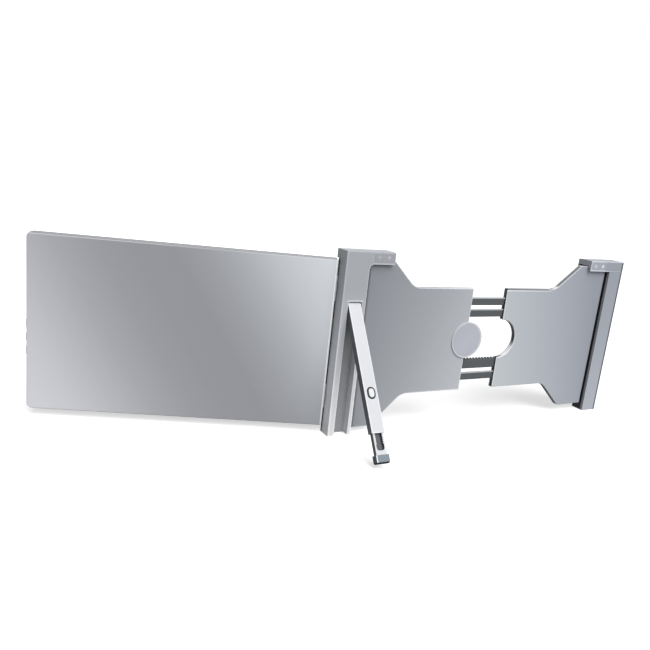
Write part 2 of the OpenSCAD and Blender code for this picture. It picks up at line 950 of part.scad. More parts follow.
// Hook of an arm, as it is seen along X: a rear wall with a curved toe, a roof and a thin lip
module hook_outline() {
    polygon(rounded(
        [
            [rear_y, column_top],
            [rear_y, arm_foot],
            [plate_face_y - arm_wall_gap, arm_foot + arm_toe_h],
            [plate_face_y - arm_wall_gap, roof_z],
            [lip_in_y, roof_z],
            [lip_in_y, lip_z],
            [hook_back_y, lip_z],
            [hook_back_y, column_top]
        ],
        [0, 0, 0, 0, 0, hook_lip_t / 4, hook_lip_t / 4, edge_r]
    ));
}

// Rear wall of the arm, lifted off its toe
module arm_wall(x0, x1) {
    bar(x0, x1)
        hook_outline();
}

// Screw posts inside a column that hold its user-side cover
post_r = 2.6;
post_zs_shares = [0.06, 0.5, 0.9];

module column_posts(x, zs, y0, y1, r) {
    for (z = zs)
        translate([x, 0, z])
            rod_y(y0, y1, r);
}

post_bite = 0.6;
left_post_x = left_in_x - column_wall - post_r + post_bite;
right_post_x = (right_in_x + right_out_x) / 2;
left_post_zs = [for (s = post_zs_shares) column_foot + s * (screen_top - column_foot)];
right_post_zs = [for (s = post_zs_shares) column_foot + s * (arm_foot - column_foot)];
channel_floor_y = rear_y + channel_d;
channel_floor_t = 1.6;

// Upright body of a column with rounded edges, as seen from above
module column_body(x0, x1, z0, z1, y1) {
    translate([0, 0, z0])
        linear_extrude(height = z1 - z0)
            polygon(rounded(
                [[x0, rear_y], [x1, rear_y], [x1, y1], [x0, y1]],
                [column_edge_r, column_edge_r, 0, 0]
            ));
}

// Cylinders that clear the hinge barrels
module barrel_room() {
    for (z = hinge_zs)
        translate([pivot_x, pivot_y, z - barrel_h / 2 - barrel_gap])
            cylinder(h = barrel_h + 2 * barrel_gap, r = barrel_r + barrel_clearance);
}

// Pockets for the leaves that lie in the column's cover
module column_leaf_room(play) {
    for (z = hinge_zs)
        block(
            [pivot_x, user_y - leaf_t - play, z - barrel_h / 2 - play],
            [pivot_x + column_leaf_l + play, user_y + overrun, z + barrel_h / 2 + play]
        );
}

module left_column_shell() {
    color(column_grey)
        difference() {
            union() {
                column_body(left_out_x, left_in_x, column_foot, column_top, cover_y);
                column_body(left_out_x, left_in_x, screen_top + slide_gap, column_top, hook_back_y);
                arm_wall(left_in_x - edge_r, left_arm_x);
                sheet(rear_y, plate_face_y - arm_wall_gap)
                    polygon(concat(
                        [
                            [left_in_x - column_edge_r, arm_foot + overrun],
                            [left_in_x - column_edge_r, arm_foot - arm_corner_r]
                        ],
                        corner_arc(
                            [left_in_x, column_foot],
                            [left_in_x, arm_foot],
                            [left_arm_x, arm_foot],
                            arm_corner_r,
                            quarter_steps
                        ),
                        [[left_in_x + arm_corner_r, arm_foot + overrun]]
                    ));
            }
            sheet(rear_y - overrun, channel_floor_y)
                polygon(rounded(
                    [
                        [channel_x0, column_foot - overrun],
                        [channel_x1, column_foot - overrun],
                        [channel_x1, channel_top],
                        [channel_x0, channel_top]
                    ],
                    [0, 0, channel_r, channel_r]
                ));
            difference() {
                union() {
                    block(
                        [left_out_x + column_wall, channel_floor_y + channel_floor_t,
                         column_foot + column_wall],
                        [left_in_x - column_wall, cover_y + overrun, screen_top - column_wall]
                    );
                    block(
                        [left_out_x + column_wall, rear_y + column_wall, channel_top + column_wall],
                        [left_in_x - column_wall, cover_y, arm_foot - column_wall]
                    );
                }
                column_posts(left_post_x, left_post_zs, rear_y, cover_y + overrun, post_r);
                for (z = hinge_zs)
                    block(
                        [left_out_x, channel_floor_y, z - barrel_h / 2 - column_wall],
                        [pivot_x + column_leaf_l + column_wall, cover_y + overrun,
                         z + barrel_h / 2 + column_wall]
                    );
            }
            translate([0, leg_pivot_y, leg_pivot_z])
                rod_x(channel_x0 - leg_pin_grip, channel_x1 + leg_pin_grip, leg_pin_r);
            barrel_room();
            for (z = hinge_zs)
                at_column_leaf_screws(z)
                    rod_y(user_y - leaf_screw_l, user_y, screw_shank_r + screw_play);
            sheet(rear_y - overrun, rear_y + arm_plate_t)
                polygon(arm_plate_outline(left_arm_x - arm_plate_end - arm_plate_l,
                                          left_arm_x - arm_plate_end));
        }
}

// Inlay on the rear face of an arm
function arm_plate_outline(x0, x1) = rounded_box(
    [x0, arm_foot + arm_plate_margin],
    [x1, column_top - arm_plate_margin],
    edge_r / 2
);

module left_arm_plate() {
    color(inlay_grey)
        sheet(rear_y, rear_y + arm_plate_t)
            polygon(arm_plate_outline(left_arm_x - arm_plate_end - arm_plate_l, left_arm_x - arm_plate_end));
}

module right_arm_plate() {
    color(inlay_grey)
        sheet(rear_y, rear_y + arm_plate_t)
            polygon(arm_plate_outline(right_arm_x + arm_plate_end,
                                      right_arm_x + arm_plate_end + arm_plate_l));
}

module left_column_cover() {
    color(column_grey)
        difference() {
            block([left_out_x, cover_y, column_foot], [left_in_x, user_y, screen_top]);
            column_leaf_room(leaf_play);
            barrel_room();
            for (z = hinge_zs)
                at_column_leaf_screws(z)
                    rod_y(cover_y - overrun, user_y, screw_shank_r + screw_play);
        }
}

// Silicone that lines the roof and the lip of a hook
module hook_pad(x0, x1) {
    block([x0, 0, roof_z - hook_pad_t], [x1, lip_in_y, roof_z]);
    block([x0, lip_in_y - hook_pad_t, lip_z + edge_r], [x1, lip_in_y, roof_z - hook_pad_t]);
}

module left_hook_pad() {
    color(silicone_black)
        hook_pad(left_in_x, left_arm_x - edge_r);
}

module right_hook_pad() {
    color(silicone_black)
        hook_pad(right_arm_x + edge_r, right_in_x);
}

// Silicone strips on the inner sides of the columns, which clamp the sides of the lid
side_pad_t = 0.8;
side_pad_edge = 10;

module left_side_pad() {
    color(silicone_black)
        block([left_in_x, 0, column_foot + side_pad_edge],
              [left_in_x + side_pad_t, user_y - edge_r, arm_foot - edge_r]);
}

module right_side_pad() {
    color(silicone_black)
        block([right_in_x - side_pad_t, 0, column_foot + side_pad_edge],
              [right_in_x, user_y - edge_r, arm_foot - edge_r]);
}

module right_column_shell() {
    color(column_grey)
        difference() {
            column_body(right_in_x, right_out_x, column_foot, arm_foot - seam, cover_y);
            difference() {
                block(
                    [right_in_x + column_wall, rear_y + column_wall, column_foot + column_wall],
                    [right_out_x - column_wall, cover_y + overrun, arm_foot - column_wall]
                );
                column_posts(right_post_x, right_post_zs, rear_y, cover_y + overrun, post_r);
            }
        }
}

module right_column_cover() {
    color(column_grey)
        block([right_in_x, cover_y, column_foot], [right_out_x, user_y, arm_foot - seam]);
}

module right_arm_cap() {
    color(column_grey)
        difference() {
            union() {
                column_body(right_in_x, right_out_x, arm_foot, column_top, hook_back_y);
                arm_wall(right_arm_x, right_in_x + edge_r);
            }
            sheet(rear_y - overrun, rear_y + arm_plate_t)
                polygon(arm_plate_outline(right_arm_x + arm_plate_end,
                                          right_arm_x + arm_plate_end + arm_plate_l));
        }
}

// Kickstand pin, held in both walls of the channel
module kickstand_pin() {
    color(steel)
        translate([0, leg_pivot_y, leg_pivot_z])
            rod_x(channel_x0 - leg_pin_grip, channel_x1 + leg_pin_grip, leg_pin_r);
}

module kickstand_washers() {
    color(brass)
        translate([0, leg_pivot_y, leg_pivot_z])
            for (x = [channel_x0, channel_x1 - leg_side_play + washer_gap])
                difference() {
                    rod_x(x, x + leg_side_play - washer_gap, washer_r);
                    rod_x(x - overrun, x + leg_side_play + overrun, leg_pin_r);
                }
}

// Hinge leaves of the column: two knuckles and a leaf that lies flush in the cover
module column_hinge_leaves() {
    color(steel)
        for (z = hinge_zs)
            difference() {
                union() {
                    for (z0 = [z - barrel_h / 2, z + barrel_h / 2 - column_knuckle_h])
                        translate([pivot_x, pivot_y, z0]) {
                            cylinder(h = column_knuckle_h, r = barrel_r);
                            block(
                                [0, -screen_set_back - leaf_t, 0],
                                [barrel_r + barrel_clearance + leaf_bridge_w, -screen_set_back,
                                 column_knuckle_h]
                            );
                        }
                    block(
                        [pivot_x + barrel_r + barrel_clearance, user_y - leaf_t, z - barrel_h / 2],
                        [pivot_x + column_leaf_l, user_y, z + barrel_h / 2]
                    );
                }
                translate([pivot_x, pivot_y, z - barrel_h / 2 - overrun])
                    cylinder(h = barrel_h + 2 * overrun, r = hinge_pin_r);
                at_column_leaf_screws(z)
                    screw_hole(user_y, user_y - leaf_t - overrun);
            }
}

// Children at each screw of one column leaf
module at_column_leaf_screws(z) {
    for (s = [-1, 1])
        translate([pivot_x + (barrel_r + barrel_clearance + column_leaf_l) / 2, 0, z + s * barrel_h / 4])
            children();
}

module column_leaf_screws() {
    color(steel)
        for (z = hinge_zs)
            at_column_leaf_screws(z)
                screw(user_y, user_y - leaf_screw_l);
}

module hinge_pins() {
    color(steel)
        for (z = hinge_zs)
            translate([pivot_x, pivot_y, z - barrel_h / 2])
                cylinder(h = barrel_h, r = hinge_pin_r);
}

// Places the display at its hinge. Inside, X runs away from the column as negative values.
module at_screen() {
    translate([pivot_x, pivot_y, 0])
        rotate([0, 0, -screen_angle])
            children();
}

// Room for the knuckles and for the leaf that reaches into the housing
module screen_hinge_room() {
    for (z = hinge_zs) {
        translate([0, 0, z - barrel_h / 2 - barrel_gap])
            cylinder(h = barrel_h + 2 * barrel_gap, r = barrel_r + barrel_clearance);
        block(
            [
                -barrel_r - barrel_clearance - leaf_play,
                screen_leaf_y0 - leaf_play,
                z - screen_knuckle_h / 2 - leaf_play
            ],
            [screen_x1 + overrun, overrun, z + screen_knuckle_h / 2 + leaf_play]
        );
    }
}

screen_x0 = -screen_edge - screen_w;
screen_x1 = -screen_edge;
picture_x0 = screen_x0 + bezel_side_w;
picture_x1 = screen_x1 - bezel_side_w;
picture_z0 = screen_foot + bezel_foot_h;
picture_z1 = screen_top - bezel_top_h;

function screen_ring(inset) = rounded(
    [
        [screen_x0 + inset, screen_foot + inset],
        [screen_x1 - inset, screen_foot + inset],
        [screen_x1 - inset, screen_top - inset],
        [screen_x0 + inset, screen_top - inset]
    ],
    [screen_r - inset, screen_hinge_r - inset, screen_hinge_r - inset, screen_r - inset]
);

// Heights of the middles of the ports and the keys, along the board
board_z0 = screen_foot + screen_r * board_corner_share;
function port_z(i) = board_z0 + board_h * (first_port_share + i * port_pitch_share);
function key_z(i) = board_z0 + board_h * (first_key_share + i * key_pitch_share);
key_y = board_y0 + board_t + switch_h / 2;

// Keys show through the outer side wall
module key_shape(x0, x1, grow) {
    bar(x0, x1)
        polygon(rounded_box(
            [key_y - key_w / 2 - grow, -key_l / 2 - grow],
            [key_y + key_w / 2 + grow, key_l / 2 + grow],
            key_w / 2 - edge_r / 10 + grow
        ));
}

module screen_back_cover() {
    color(satin_grey)
        at_screen()
            difference() {
                union() {
                    bevel_layer(
                        screen_ring(screen_bevel),
                        screen_rear_y,
                        screen_ring(0),
                        screen_rear_y + screen_bevel
                    );
                    sheet(screen_rear_y + screen_bevel, screen_front_y - bezel_t)
                        polygon(screen_ring(0));
                }
                difference() {
                    sheet(screen_rear_y + screen_skin_t, screen_front_y)
                        polygon(screen_ring(screen_wall));
                    for (z = hinge_zs)
                        at_screen_leaf_screws(z)
                            rod_y(screen_rear_y + screen_skin_t, screen_leaf_y0, stud_r);
                }
                for (z = hinge_zs)
                    at_screen_leaf_screws(z)
                        rod_y(screen_rear_y + screen_skin_t, screen_front_y, screw_shank_r + screw_play);
                screen_hinge_room();
                for (i = [0, 1])
                    port_room(i, usb_w, socket_h);
                port_room(2, hdmi_w, hdmi_h);
                for (i = [0:key_count - 1])
                    translate([0, 0, key_z(i)])
                        key_shape(screen_x0 - overrun, screen_x0 + screen_wall + overrun, key_play);
            }
}

// Hole in the outer wall for a socket
module port_room(i, w, h) {
    bar(screen_x0 - overrun, screen_x0 + screen_wall + overrun)
        polygon(rounded_box(
            [board_y0 - port_play, port_z(i) - w / 2 - port_play],
            [board_y0 + h + port_play, port_z(i) + w / 2 + port_play],
            h / 3
        ));
}

module screen_bezel() {
    color(bezel_black)
        at_screen()
            difference() {
                sheet(screen_front_y - bezel_t, screen_front_y)
                    polygon(screen_ring(0));
                sheet(screen_front_y - bezel_t - overrun, screen_front_y + overrun)
                    polygon(rounded_box(
                        [picture_x0 - glass_margin, picture_z0 - glass_margin],
                        [picture_x1 + glass_margin, picture_z1 + glass_margin],
                        edge_r
                    ));
                screen_hinge_room();
            }
}

module screen_glass() {
    color([0.02, 0.02, 0.025])
        at_screen()
            sheet(screen_front_y - glass_recess - glass_t, screen_front_y - glass_recess)
                polygon(rounded_box(
                    [picture_x0 - glass_margin, picture_z0 - glass_margin],
                    [picture_x1 + glass_margin, picture_z1 + glass_margin],
                    edge_r
                ));
}

module lcd_module() {
    color([0.12, 0.12, 0.13])
        at_screen()
            sheet(lcd_y0, lcd_y1)
                polygon([
                    [picture_x0 - lcd_margin, picture_z0 - lcd_margin],
                    [picture_x1 + lcd_margin, picture_z0 - lcd_margin],
                    [picture_x1 + lcd_margin, picture_z1 + lcd_margin],
                    [picture_x0 - lcd_margin, picture_z1 + lcd_margin]
                ]);
}

board_x0 = screen_x0 + screen_wall + slide_gap + key_flange_t + key_travel;

module driver_board() {
    color(board_green)
        at_screen()
            difference() {
                block(
                    [board_x0, board_y0, board_z0],
                    [board_x0 + board_w, board_y0 + board_t, board_z0 + board_h]
                );
                for (i = [0, 1])
                    socket_space(i, usb_w, usb_depth, socket_h);
                socket_space(2, hdmi_w, hdmi_depth, hdmi_h);
            }
}

module socket_space(i, w, depth, h) {
    block(
        [screen_x0, board_y0 - overrun, port_z(i) - w / 2],
        [screen_x0 + depth, board_y0 + h, port_z(i) + w / 2]
    );
}

// A socket: a sheet-metal shell with a tongue in its middle
module socket(i, w, depth, h) {
    difference() {
        bar(screen_x0, screen_x0 + depth)
            polygon(rounded_box([board_y0, port_z(i) - w / 2], [board_y0 + h, port_z(i) + w / 2], h / 3));
        bar(screen_x0 - overrun, screen_x0 + depth - shell_t)
            polygon(rounded_box(
                [board_y0 + shell_t, port_z(i) - w / 2 + shell_t],
                [board_y0 + h - shell_t, port_z(i) + w / 2 - shell_t],
                h / 3 - shell_t
            ));
    }
    block(
        [screen_x0 + depth / 4, board_y0 + h / 2 - tongue_t / 2, port_z(i) - w / 2 + h / 2],
        [screen_x0 + depth, board_y0 + h / 2 + tongue_t / 2, port_z(i) + w / 2 - h / 2]
    );
}

module usb_c_sockets() {
    color(steel)
        at_screen()
            for (i = [0, 1])
                socket(i, usb_w, usb_depth, socket_h);
}

module mini_hdmi_socket() {
    color(steel)
        at_screen()
            socket(2, hdmi_w, hdmi_depth, hdmi_h);
}

// Small switches on the board, one behind each key
module button_switches() {
    color(steel)
        at_screen()
            for (i = [0:key_count - 1])
                translate([board_x0, board_y0 + board_t, key_z(i) - switch_w / 2])
                    cube([switch_depth, switch_h, switch_w]);
}

// A key with a flange that keeps it inside the wall
module key(i) {
    color(satin_grey)
        at_screen()
            translate([0, 0, key_z(i)]) {
                key_shape(screen_x0 - key_proud, screen_x0 + screen_wall + slide_gap / 2, 0);
                block(
                    [screen_x0 + screen_wall + slide_gap / 2, key_y - key_w / 2, -key_l / 2 - key_flange],
                    [screen_x0 + screen_wall + slide_gap / 2 + key_flange_t, key_y + key_w / 2,
                     key_l / 2 + key_flange]
                );
            }
}

module menu_down_button() {
    key(0);
}

module menu_up_button() {
    key(1);
}

module power_button() {
    key(2);
}

screen_leaf_y1 = lcd_y0 - leaf_play;
screen_leaf_y0 = screen_leaf_y1 - leaf_t;

// Hinge leaves of the display: a knuckle and a leaf that lies behind the picture panel
module screen_hinge_leaves() {
    color(steel)
        at_screen()
            for (z = hinge_zs)
                difference() {
                    union() {
                        translate([0, 0, z - screen_knuckle_h / 2])
                            cylinder(h = screen_knuckle_h, r = barrel_r);
                        block(
                            [-barrel_r - barrel_clearance, screen_leaf_y0, z - screen_knuckle_h / 2],
                            [-screen_edge, 0, z + screen_knuckle_h / 2]
                        );
                        block(
                            [-screen_edge - screen_leaf_l, screen_leaf_y0, z - screen_knuckle_h / 2],
                            [-screen_edge, screen_leaf_y1, z + screen_knuckle_h / 2]
                        );
                    }
                    translate([0, 0, z - screen_knuckle_h / 2 - overrun])
                        cylinder(h = screen_knuckle_h + 2 * overrun, r = hinge_pin_r + running_fit);
                    at_screen_leaf_screws(z)
                        screw_hole(screen_leaf_y1, screen_leaf_y0 - overrun);
                }
}

// Children at each screw of one display leaf
module at_screen_leaf_screws(z) {
    for (x = [-screen_leaf_l + leaf_bridge_w, -screen_leaf_l / 2 - leaf_bridge_w / 2])
        translate([x, 0, z])
            children();
}

module screen_leaf_screws() {
    color(steel)
        at_screen()
            for (z = hinge_zs)
                at_screen_leaf_screws(z)
                    screw(screen_leaf_y1, screen_rear_y + screen_skin_t);
}

// Places the kickstand at its pivot. Inside, the leg hangs down along Z and its face looks along -Y.
module at_leg() {
    translate([leg_x, leg_pivot_y, leg_pivot_z])
        rotate([-leg_angle, 0, 0])
            children();
}

function leg_ring(w, t, r) = rounded_box([-w / 2, -t / 2], [w / 2, t / 2], r);

// Upright bar with round ends at the release button, between two depths
module stadium(y0, y1, l, w) {
    translate([0, 0, button_z]) {
        block([-w / 2, y0, (w - l) / 2], [w / 2, y1, (l - w) / 2]);
        for (z = [(w - l) / 2, (l - w) / 2])
            translate([0, 0, z])
                rod_y(y0, y1, w / 2);
    }
}

module kickstand_outer_leg() {
    color(leg_silver)
        at_leg()
            difference() {
                union() {
                    translate([0, 0, leg_foot])
                        linear_extrude(height = -leg_foot)
                            polygon(leg_ring(leg_w, leg_t, leg_edge_r));
                    rod_x(-leg_w / 2, leg_w / 2, leg_t / 2);
                }
                translate([0, 0, leg_foot - overrun])
                    linear_extrude(height = inner_in_l + inner_travel_in + inner_travel_gap + overrun)
                        square([leg_w - 2 * leg_wall, leg_t - 2 * leg_wall], center = true);
                rod_x(-leg_w / 2 - overrun, leg_w / 2 + overrun, leg_pin_r + running_fit);
                stadium(-leg_t / 2 - overrun, 0, button_l + 2 * button_cap_gap,
                        button_w + 2 * button_cap_gap);
                stadium(
                    -leg_t / 2 - overrun,
                    -leg_t / 2 + ring_t,
                    button_l + 2 * button_ring_w,
                    button_w + 2 * button_ring_w
                );
            }
}

module button_ring() {
    color(rail_grey)
        at_leg()
            difference() {
                stadium(
                    -leg_t / 2 - ring_proud,
                    -leg_t / 2 + ring_t,
                    button_l + 2 * button_ring_w,
                    button_w + 2 * button_ring_w
                );
                stadium(-leg_t / 2 - overrun, overrun, button_l + 2 * button_cap_gap,
                        button_w + 2 * button_cap_gap);
            }
}

cap_in_y = -leg_t / 2 + leg_wall + slide_gap / 3;

module release_button() {
    color(leg_silver)
        at_leg()
            stadium(-leg_t / 2 - button_proud, cap_in_y, button_l, button_w);
}

slot_tip = slot_w / 2 - latch_depth;
pawl_half = slot_tip - pawl_nose_gap;
teeth_count = floor((inner_in_l + inner_out_l - slot_end - teeth_end) / latch_pitch);

// Pawl under the button, with noses that run along the teeth of the inner leg
module latch_pawl() {
    color(steel)
        at_leg()
            translate([0, 0, button_z]) {
                block([-pawl_half + pawl_nose_r / 2, cap_in_y, -pawl_l / 2],
                      [pawl_half - pawl_nose_r / 2, cap_in_y + pawl_h, pawl_l / 2]);
                for (s = [-1, 1])
                    translate([s * (pawl_half - pawl_nose_r), 0, 0])
                        rod_y(cap_in_y, cap_in_y + pawl_h, pawl_nose_r);
            }
}

module latch_leaf_spring() {
    color(steel)
        at_leg()
            block(
                [-leaf_spring_w / 2, cap_in_y, button_z + pawl_l / 2],
                [leaf_spring_w / 2, cap_in_y + leaf_spring_t, button_z + pawl_l / 2 + leaf_spring_l]
            );
}

// Slot of the inner leg: toothed on both sides, with a plain round end near the foot
function slot_side(s) = [
    for (i = [0:teeth_count - 1])
        each [
            [s * slot_w / 2, inner_top - i * latch_pitch],
            [s * slot_tip, inner_top - (i + 1 / 2) * latch_pitch]
        ]
];
function reversed(points) = [for (i = [len(points) - 1:-1:0]) points[i]];
slot_outline = concat(
    [[slot_w / 2, inner_top + overrun]],
    slot_side(1),
    rounded(
        [
            [slot_w / 2, inner_top - teeth_count * latch_pitch],
            [slot_w / 2, inner_foot + slot_end - slot_r / 2],
            [-slot_w / 2, inner_foot + slot_end - slot_r / 2],
            [-slot_w / 2, inner_top - teeth_count * latch_pitch]
        ],
        [0, slot_r, slot_r, 0]
    ),
    reversed(slot_side(-1)),
    [[-slot_w / 2, inner_top + overrun]]
);

module kickstand_inner_leg() {
    color(leg_silver)
        at_leg()
            difference() {
                translate([0, 0, inner_foot])
                    linear_extrude(height = inner_in_l + inner_out_l)
                        polygon(leg_ring(inner_w, inner_t, leg_edge_r / 2));
                sheet(-inner_t / 2 - overrun, slot_depth - inner_t / 2)
                    polygon(slot_outline);
            }
}

module kickstand_foot() {
    color(foot_grey)
        at_leg()
            translate([0, 0, inner_foot - foot_h])
                linear_extrude(height = foot_h)
                    polygon(leg_ring(leg_w, leg_t, leg_edge_r));
}

// Rubber sole, round from front to back so that it lies flat at any angle of the leg
module foot_sole() {
    color(silicone_black)
        at_leg()
            bar(-leg_w / 2 + sole_inset, leg_w / 2 - sole_inset)
                polygon(concat(
                    [[leg_t / 2 - sole_inset, inner_foot - foot_h],
                     [sole_inset - leg_t / 2, inner_foot - foot_h]],
                    [
                        for (i = [0:2 * quarter_steps])
                            let (a = 180 + 180 * i / (2 * quarter_steps))
                            [
                                (leg_t / 2 - sole_inset) * cos(a),
                                inner_foot - foot_h - edge_r / 2 + (sole_h - edge_r / 2) * sin(a)
                            ]
                    ]
                ));
}

left_column_shell();
left_column_cover();
left_arm_plate();
left_hook_pad();
left_side_pad();
left_plate_cover();
left_plate_base();
left_lid_pads();
badge_disc();
badge_ring();
left_rail_guides();
upper_outer_rail();
lower_outer_rail();
pinion_axle();
brake_washer();
kickstand_pin();
kickstand_washers();
column_hinge_leaves();
hinge_pins();
column_leaf_screws();
left_base_screws();
left_rail_screws();
drag_pinion();
right_column_shell();
right_column_cover();
right_arm_cap();
right_arm_plate();
right_hook_pad();
right_side_pad();
right_plate_cover();
right_plate_base();
right_lid_pads();
right_rail_guides();
upper_inner_rail();
rack_rail();
right_base_screws();
right_rail_screws();
screen_back_cover();
screen_bezel();
screen_glass();
lcd_module();
driver_board();
usb_c_sockets();
mini_hdmi_socket();
button_switches();
screen_hinge_leaves();
screen_leaf_screws();
power_button();
menu_up_button();
menu_down_button();
kickstand_outer_leg();
button_ring();
kickstand_inner_leg();
kickstand_foot();
foot_sole();
release_button();
latch_pawl();
latch_leaf_spring();
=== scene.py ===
import math

import bmesh
import bpy
from mathutils import Matrix, Vector


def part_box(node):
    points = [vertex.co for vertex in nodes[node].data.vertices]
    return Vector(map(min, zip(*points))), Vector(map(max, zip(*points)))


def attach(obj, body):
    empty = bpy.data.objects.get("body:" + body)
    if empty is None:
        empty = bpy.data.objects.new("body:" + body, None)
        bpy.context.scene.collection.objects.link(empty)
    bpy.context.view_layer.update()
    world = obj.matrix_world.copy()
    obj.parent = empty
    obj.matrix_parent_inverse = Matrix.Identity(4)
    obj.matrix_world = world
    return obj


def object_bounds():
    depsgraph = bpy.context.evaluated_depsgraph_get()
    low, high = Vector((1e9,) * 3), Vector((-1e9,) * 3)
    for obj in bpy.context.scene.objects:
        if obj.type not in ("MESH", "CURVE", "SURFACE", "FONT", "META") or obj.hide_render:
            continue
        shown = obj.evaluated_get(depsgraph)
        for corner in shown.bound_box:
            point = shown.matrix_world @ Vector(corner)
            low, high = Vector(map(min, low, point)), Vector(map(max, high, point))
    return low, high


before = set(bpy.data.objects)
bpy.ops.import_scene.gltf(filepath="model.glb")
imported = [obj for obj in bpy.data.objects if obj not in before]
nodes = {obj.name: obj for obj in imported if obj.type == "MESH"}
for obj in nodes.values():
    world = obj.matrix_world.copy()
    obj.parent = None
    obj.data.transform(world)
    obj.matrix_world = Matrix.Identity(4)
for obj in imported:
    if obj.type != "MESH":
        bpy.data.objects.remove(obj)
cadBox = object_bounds()
print("frame loaded:", len(nodes), "nodes")

mm = 0.001
xAxis = (1, 0, 0)
yAxis = (0, 1, 0)
zAxis = (0, 0, 1)
scene = bpy.context.scene
scene.view_settings.view_transform = "Standard"

# the curve between the values of a screen and linear light
screenCurve = {"knee": 0.04045, "slope": 12.92, "lift": 0.055, "power": 2.4}


def tone(r, g, b):
    # a colour in screen values, 0 to 255, turned into what the shader wants
    s = screenCurve
    linear = []
    for c in (r / 255, g / 255, b / 255):
        curved = ((c + s["lift"]) / (1 + s["lift"])) ** s["power"]
        linear.append(c / s["slope"] if c < s["knee"] else curved)
    return (*linear, 1.0)


def extent(node):
    # the lowest and the highest corner of a solid at rest, in mm
    return [Vector(corner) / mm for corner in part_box(node)]


def freshMaterial(name):
    mat = bpy.data.materials.new(name)
    mat.use_nodes = True
    return mat, mat.node_tree, mat.node_tree.nodes["Principled BSDF"]


def put(tree, kind, feeds=None, **settings):
    made = tree.nodes.new("ShaderNode" + kind)
    for key, value in settings.items():
        setattr(made, key, value)
    for key, value in (feeds or {}).items():
        if isinstance(value, bpy.types.NodeSocket):
            tree.links.new(value, made.inputs[key])
        else:
            made.inputs[key].default_value = value
    return made


def ramp(tree, factor, stops, ease="LINEAR"):
    made = put(tree, "ValToRGB", {"Fac": factor})
    bar = made.color_ramp
    bar.interpolation = ease
    bar.elements[0].position, bar.elements[0].color = stops[0]
    bar.elements[1].position, bar.elements[1].color = stops[-1]
    for place, colour in stops[1:-1]:
        bar.elements.new(place).color = colour
    return made.outputs["Color"]


def between(a, b):
    # a run of tones with two ends
    return [(0.0, a), (1.0, b)]


def grey(v):
    return (v, v, v, 1.0)


def mixColour(tree, factor, a, b, blend="MIX"):
    return put(tree, "Mix", {0: factor, 6: a, 7: b}, data_type="RGBA", blend_type=blend).outputs[2]


def along(tree, coord, direction, start, end):
    # runs from 0 to 1 between two planes across the direction, both given in mm
    d = Vector(direction)
    dot = put(tree, "VectorMath", {0: coord, 1: d}, operation="DOT_PRODUCT").outputs["Value"]
    step = put(tree, "MapRange", {"Value": dot, "From Min": start * mm, "From Max": end * mm})
    return step.outputs["Result"]


def over(direction, place, fade=0.2):
    # a plane for inside(), passed beyond its place along the direction
    return direction, place, place + fade


def under(direction, place, fade=0.2):
    return direction, place, place - fade


def product(tree, a, b):
    return put(tree, "Math", {0: a, 1: b}, operation="MULTIPLY").outputs["Value"]


def inside(tree, coord, planes):
    # 1 where every plane is passed
    factor = None
    for direction, start, end in planes:
        step = along(tree, coord, direction, start, end)
        factor = step if factor is None else product(tree, factor, step)
    return factor


def pointing(tree, normal, direction, low, high):
    dot = put(tree, "VectorMath", {0: normal, 1: Vector(direction).normalized()},
              operation="DOT_PRODUCT").outputs["Value"]
    return put(tree, "MapRange", {"Value": dot, "From Min": low, "From Max": high}).outputs["Result"]


def scaled(tree, colour, k):
    return mixColour(tree, 1.0, colour, grey(k), "MULTIPLY")


# what all the satin finishes and their painted light and shade share; a pair is where a change starts and
# where it is complete
satinAndPaintedLightShared = {
    "fineDetail": 3.0, "fineRoughness": 0.6, "slowScale": 30.0, "slowDetail": 4.0, "span": (0.3, 0.7),
    "depth": 0.06, "drift": (0.97, 1.03), "driftSpan": (0.35, 0.65), "speck": 0.04, "specular": 0.4,
    "wallTurn": (0.45, 0.28), "frontTurn": (0.35, 0.6), "sideTurn": (0.6, 0.9),
    "leanTurn": (0.04, 0.14), "softTurn": (0.999, 0.988), "bevelSamples": 6, "rimStep": 0.1,
}


def spread(tree, value, span, low, high):
    # a noise's middle part, pulled out to run from low to high
    made = put(tree, "MapRange", {"Value": value, "From Min": span[0], "From Max": span[1],
                                  "To Min": low, "To Max": high})
    return made.outputs["Result"]


def grain(tree, shader, coord, s):
    # fine relief, and a slow change of the gloss over it
    base = satinAndPaintedLightShared
    stretch = put(tree, "Mapping", {"Vector": coord, "Scale": s.get("stretch", (1, 1, 1))}).outputs["Vector"]
    fine = put(tree, "TexNoise", {"Vector": stretch, "Scale": s["grain"], "Detail": base["fineDetail"],
                                  "Roughness": base["fineRoughness"]})
    slow = put(tree, "TexNoise", {"Vector": stretch, "Scale": base["slowScale"],
                                  "Detail": base["slowDetail"]})
    gloss = spread(tree, slow.outputs["Fac"], base["span"], *s["roughness"])
    relief = put(tree, "Bump", {"Height": fine.outputs["Fac"], "Strength": s["bump"],
                                "Distance": base["depth"] * mm})
    tree.links.new(gloss, shader.inputs["Roughness"])
    tree.links.new(relief.outputs["Normal"], shader.inputs["Normal"])
    return fine.outputs["Fac"], slow.outputs["Fac"]


def dimmed(colour, k):
    return tuple(c * k for c in colour[:3]) + (1.0,)


